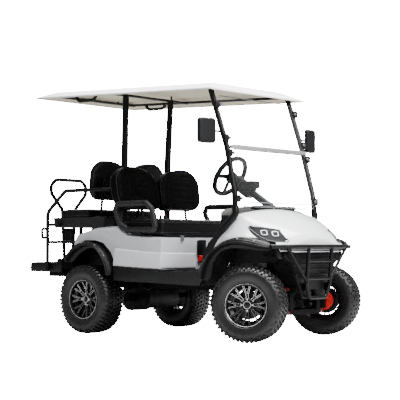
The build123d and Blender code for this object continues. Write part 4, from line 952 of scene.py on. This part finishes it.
# ---- flares
# share of the way from the body edge to the wheel edge, and how far out
FLARE_SECTION = (
    (-0.03, 0.594), (0.0, 0.624), (0.1, 0.64), (0.33, 0.646), (0.38, 0.655), (0.64, 0.659), (0.69, 0.667),
    (0.95, 0.668), (1.0, 0.66), (1.02, 0.612), (1.75, 0.607), (1.76, 0.594), (0.1, 0.592))
FRONT_EDGES = (
    ((0.69, 0.5), (0.742, 0.47)), ((0.692, 0.56), (0.758, 0.53)), ((0.716, 0.602), (0.775, 0.58)),
    ((0.75, 0.642), (0.795, 0.625)), ((0.79, 0.678), (0.825, 0.662)), ((0.841, 0.717), (0.868, 0.7)),
    ((0.922, 0.771), (0.93, 0.735)), ((1.022, 0.802), (1.015, 0.757)), ((1.11, 0.813), (1.095, 0.76)),
    ((1.198, 0.803), (1.18, 0.751)), ((1.274, 0.78), (1.256, 0.732)), ((1.335, 0.752), (1.334, 0.72)),
)
REAR_EDGES = (
    ((-0.84, 0.61), (-0.79, 0.6)), ((-0.79, 0.69), (-0.75, 0.655)), ((-0.722, 0.741), (-0.69, 0.7)),
    ((-0.65, 0.77), (-0.63, 0.73)), ((-0.574, 0.783), (-0.555, 0.75)), ((-0.5, 0.775), (-0.49, 0.746)),
    ((-0.429, 0.753), (-0.43, 0.726)), ((-0.37, 0.715), (-0.385, 0.69)), ((-0.321, 0.664), (-0.345, 0.64)),
    ((-0.285, 0.6), (-0.318, 0.585)), ((-0.262, 0.538), (-0.3, 0.53)), ((-0.262, 0.488), (-0.3, 0.488)),
)
FLARE_FADE = 0.16  # length over which a flare draws in at the nose
FLARE_DRAW_IN = 0.11


def make_flare(name, edges, taper_from, node, bolt_at):
    """Both flares of one axle: a ridged section drawn round the arch, with its bolts."""
    bm = bmesh.new()
    for side in (-1, 1):
        stations = []
        for (ux, uz), (ix, iz) in edges:
            draw_in = FLARE_DRAW_IN * max(0.0, min(1.0, (ux - taper_from) / FLARE_FADE)) ** 1.3
            stations.append([
                (ux + (ix - ux) * t, side * (y - draw_in), uz + (iz - uz) * t) for t, y in FLARE_SECTION])
        verts = [bm.verts.new(p) for p in stations[0]]
        ring = [bm.edges.new((a, b)) for a, b in zip(verts, verts[1:] + verts[:1])]
        first = list(ring)
        for station in stations[1:]:
            made = ops.extrude_edge_only(bm, edges=ring)
            fresh = made_verts(made)
            # each new vertex still lies on the one it came from
            verts = [min(fresh, key=lambda new: (new.co - old.co).length) for old in verts]
            for vert, place in zip(verts, station):
                vert.co = place
            rims = [g for g in made["geom"] if isinstance(g, BMEdge)]
            ring = [e for e in rims if all(v in fresh for v in e.verts)]
        ops.holes_fill(bm, edges=first + ring)
    flare = piece(name, bm, (BLACK_GRAIN,), replaces=(node,), smooth=None)
    modify(flare, "fine", "SUBSURF", levels=2, render_levels=2)
    bolts = bmesh.new()
    for side in (-1, 1):
        for x, y, z in bolt_at:
            stand = Matrix.Translation((x, side * y, z)) @ Matrix.Rotation(radians(90), 4, "X")
            round_bar(bolts, 0.008, 0.006, 18, stand)
            round_bar(bolts, 0.005, 0.01, 6, stand)
    bevel_edges(bolts, sharp_edges(bolts, 50), 0.0008, 1)
    piece(name + "_bolts", bolts, (ZINC,))


make_flare("front_flare_band", FRONT_EDGES, 1.18, "front_flares", (
    (0.9, 0.647, 0.744), (1.1, 0.647, 0.795), (1.24, 0.626, 0.776)))
make_flare("rear_flare_band", REAR_EDGES, math.inf, "rear_flares", (
    (-0.6, 0.648, 0.77), (-0.44, 0.648, 0.748), (-0.335, 0.648, 0.662)))

# ---- headlamps
LAMP_EDGE = (
    (1.1073, 0.51, 0.8913), (1.1414, 0.4911, 0.8866), (1.1886, 0.4515, 0.8819), (1.2309, 0.3928, 0.8745),
    (1.2595, 0.3539, 0.8638), (1.2977, 0.3407, 0.8328), (1.3334, 0.3373, 0.7979), (1.3478, 0.3246, 0.7818),
    (1.3337, 0.3893, 0.7739), (1.303, 0.4501, 0.7753), (1.2659, 0.4895, 0.786), (1.2066, 0.5125, 0.8167),
    (1.1521, 0.5173, 0.8516))
LAMP_MIDDLES = (Vector((1.22005, 0.467683, 0.840267)), Vector((1.274183, 0.396917, 0.831767)))
RING_HALF = 0.0225
RING_KNOTS = ((1, 0), (0.88, 0.88), (0, 1), (-0.88, 0.88), (-1, 0), (-0.88, -0.88), (0, -1), (0.88, -0.88))
RING_RAISE = 0.003
CELL_RADIUS = 0.01
CELL_SINK = 0.004
LAMP_OUT = Vector((0.6, 0.42, 0.68))
RING_WIDE = UP.cross(LAMP_OUT).normalized() * RING_HALF
RING_TALL = LAMP_OUT.cross(RING_WIDE).normalized() * RING_HALF
for side_name, side in SIDES:
    flip = Vector((1, side, 1))
    closed_pipe(f"lamp_bezel_{side_name}", [[Vector(p) * flip for p in LAMP_EDGE]], 0.0042, BEZEL)
    turn = (LAMP_OUT * flip).to_track_quat("Z", "Y").to_matrix().to_4x4() @ Matrix.Diagonal((1, 1, 0.4, 1))
    rings = []
    cells = bmesh.new()
    for middle in LAMP_MIDDLES:
        raised = middle + LAMP_OUT * RING_RAISE
        rings.append([(raised + RING_WIDE * u + RING_TALL * v) * flip for u, v in RING_KNOTS])
        ops.create_uvsphere(
            cells, u_segments=24, v_segments=12, radius=CELL_RADIUS,
            matrix=Matrix.Translation((middle - LAMP_OUT * CELL_SINK) * flip) @ turn)
    closed_pipe(f"lamp_rings_{side_name}", rings, 0.0036, WHITE_LENS)
    piece(f"lamp_cells_{side_name}", cells, (BEZEL,), smooth=None)

# ---- nose
slats = []
for z in (0.52, 0.56, 0.6, 0.64):
    half = 0.15 + (z - 0.33) * 0.5
    slats.append(((1.352, -half, z - 0.007), (1.362, half, z + 0.007), 0, 0.003))
lip = ((1.345, 0.428, 0.712), (1.378, 0.345, 0.708), (1.3865, 0.224, 0.707))
pipe("cowl_lip", [[(x, -y, z) for x, y, z in lip] + list(reversed(lip))], 0.0075, LEDGE_GREY)
fitting("nose_valance", [
    ((1.296, -0.43, 0.64), (1.33, 0.43, 0.752), 0, 0.01, 3),
    ((1.318, -0.4, 0.706), (1.352, 0.4, 0.73), 1, 0.008, 3), *slats], (BLACK_GRAIN, LEDGE_GREY))
APRON_EDGE = ((0.205, 0.44), (0.285, 0.6), (0.385, 0.655), (0.43, 0.72))
APRON_FRONT = 1.334
APRON_DEPTH = 0.169
APRON_THICK = 0.005
for side_name, side in SIDES:
    apron = bmesh.new()
    verts = [apron.verts.new((APRON_FRONT, side * y, z)) for y, z in APRON_EDGE]
    edges = [apron.edges.new(pair) for pair in zip(verts, verts[1:])]
    made = ops.extrude_edge_only(apron, edges=edges)
    ops.translate(apron, vec=(-APRON_DEPTH, 0, 0), verts=made_verts(made))
    ops.solidify(apron, geom=apron.faces[:], thickness=APRON_THICK)
    piece(f"nose_apron_{side_name}", apron, (BLACK_GRAIN,))

# ---- body ledges
LEDGE_OUT = 0.017  # how far a ledge stands off the body
LEDGE_ROUND = 0.015
SIDE_LEDGE = (
    (-0.262, 0.575), (-0.25, 0.7), (-0.234, 0.723), (0.11, 0.697), (0.266, 0.689), (0.266, 0.552), (0.1, 0.556),
    (-0.1, 0.564))
HEEL_LEDGE = ((0.614, 0.556), (0.614, 0.689), (0.168, 0.683), (0.168, 0.556))
for side_name, side in SIDES:
    ledge = bmesh.new()
    face = outline_face(ledge, [(x, side * 0.599, z) for x, z in SIDE_LEDGE])
    extrude_by(ledge, [face], (0, side * LEDGE_OUT, 0))
    bevel_edges(ledge, [e for e in ledge.edges if all(abs(v.co.y) > 0.606 for v in e.verts)], LEDGE_ROUND, 4)
    face = outline_face(ledge, [(0.267, side * y, z) for y, z in HEEL_LEDGE])
    extrude_by(ledge, [face], (LEDGE_OUT, 0, 0))
    bevel_edges(ledge, [e for e in ledge.edges if all(v.co.x > 0.28 for v in e.verts)], LEDGE_ROUND, 4)
    # the ledges take the brighter pearl of the cowl, not the rear body's darker copy: a painted highlight along
    # the crease
    piece(f"body_ledge_{side_name}", ledge, (PEARL,))

# ---- small fittings
catches = []
for y in (-0.339, 0.339):
    catches.append(((0.27, y - 0.022, 0.786), (0.277, y + 0.022, 0.828), 2, 0.004))
    catches.append(((0.276, y - 0.01, 0.78), (0.286, y + 0.01, 0.812), 2, 0.004))
fitting("heel_fittings", [
    ((0.269, -0.152, 0.664), (0.288, -0.045, 0.792), 0, 0.012, 3),
    ((0.286, -0.138, 0.7), (0.294, -0.06, 0.775), 0, 0.006),
    ((0.262, -0.14, 0.606), (0.29, -0.05, 0.664), 1, 0.009, 3), *catches,
    ((0.232, -0.52, 0.8), (0.262, 0.52, 0.8285), 0, 0.003)], (BLACK_GRAIN, RED, ZINC))

vents = []
for low_y, high_y in ((-0.27, -0.045), (0.045, 0.27)):
    vents.append(((0.93, low_y, 1.036), (0.99, high_y, 1.058), 0, 0.006))
    for x in [0.936 + step * 0.009 for step in range(6)]:
        vents.append(((x, low_y + 0.012, 1.056), (x + 0.004, high_y - 0.012, 1.064), 1, 0.0012, 1))
fitting("dash_vents", vents, (BLACK_GRAIN, CLIP_GREY))

for side_name, side in SIDES:
    place = Matrix.Translation((0.8146, side * 0.69, 1.64)) @ Matrix.Rotation(side * radians(12), 4, "Z")
    fitting(f"mirror_glass_{side_name}", [((-0.003, -0.074, -0.09), (0.001, 0.074, 0.09), 0, 0.0014)],
            (MIRROR,), place=place)

ribs = [-0.46 + step * 0.04 for step in range(24)]
fitting("floor_mat", [((0.3, -0.5, 0.537), (0.742, 0.5, 0.5425), 0, 0.0025)] + [
    ((0.322, y - 0.007, 0.5415), (0.72, y + 0.007, 0.5455), 0, 0.0018) for y in ribs], (MAT_RUBBER,))
ribs = [-1.418 + step * 0.04 for step in range(9)]
fitting("platform_tread", [
    ((x, -0.42, 0.5965), (x + 0.014, 0.42, 0.6005), 0, 0.0018) for x in ribs], (MAT_RUBBER,))

fitting("column_shroud", [((0.07, -0.052, -0.06), (0.29, 0.052, 0.048), 0, 0.022, 4)], (BLACK_GRAIN,),
        place=Matrix.Translation((0.262, 0.3, 1.345)) @ Matrix.Rotation(radians(32), 4, "Y"))

buckles = []
for y in (-0.085, -0.03, 0.035, 0.09):
    buckles.append(((-0.318, y - 0.01, 0.93), (-0.3, y + 0.01, 1.012), 0, 0.006))
    buckles.append(((-0.315, y - 0.007, 1.008), (-0.303, y + 0.007, 1.022), 1, 0.003, 1))
fitting("belt_buckles", buckles, (BLACK_GRAIN, RED))

HANDLE_LINE = ((-0.87, 2.055), (-0.84, 2.01), (-0.65, 2.01), (-0.62, 2.055))
pipe("roof_handles", [[(x, y, z) for x, z in HANDLE_LINE] for y in (-0.45, 0.45)], 0.014, BLACK_GRAIN)
pipe("screen_fold_rail", [[(1.012, -0.47, 1.084), (1.012, 0.47, 1.084)]], 0.0045, CLIP_GREY)

# ---- floor
floor_mesh = bmesh.new()
ops.create_grid(floor_mesh, x_segments=1, y_segments=1, size=30)
floor = new_object("studio_floor", as_mesh("studio_floor", floor_mesh))
pale = finish("pale_floor", (0.55, 0.55, 0.55), 0.9, specular=0.0)
floor.data.materials.append(pale)
tree = pale.node_tree
inputs = tree.nodes["Principled BSDF"].inputs
seen = add_node(tree, "LightPath").outputs["Is Camera Ray"]
glow = add_node(tree, "Math", {0: seen, 1: FLOOR_GLOW}, operation="MULTIPLY")
connect(tree, inputs, {"Emission Strength": glow, "Emission Color": WHITE})
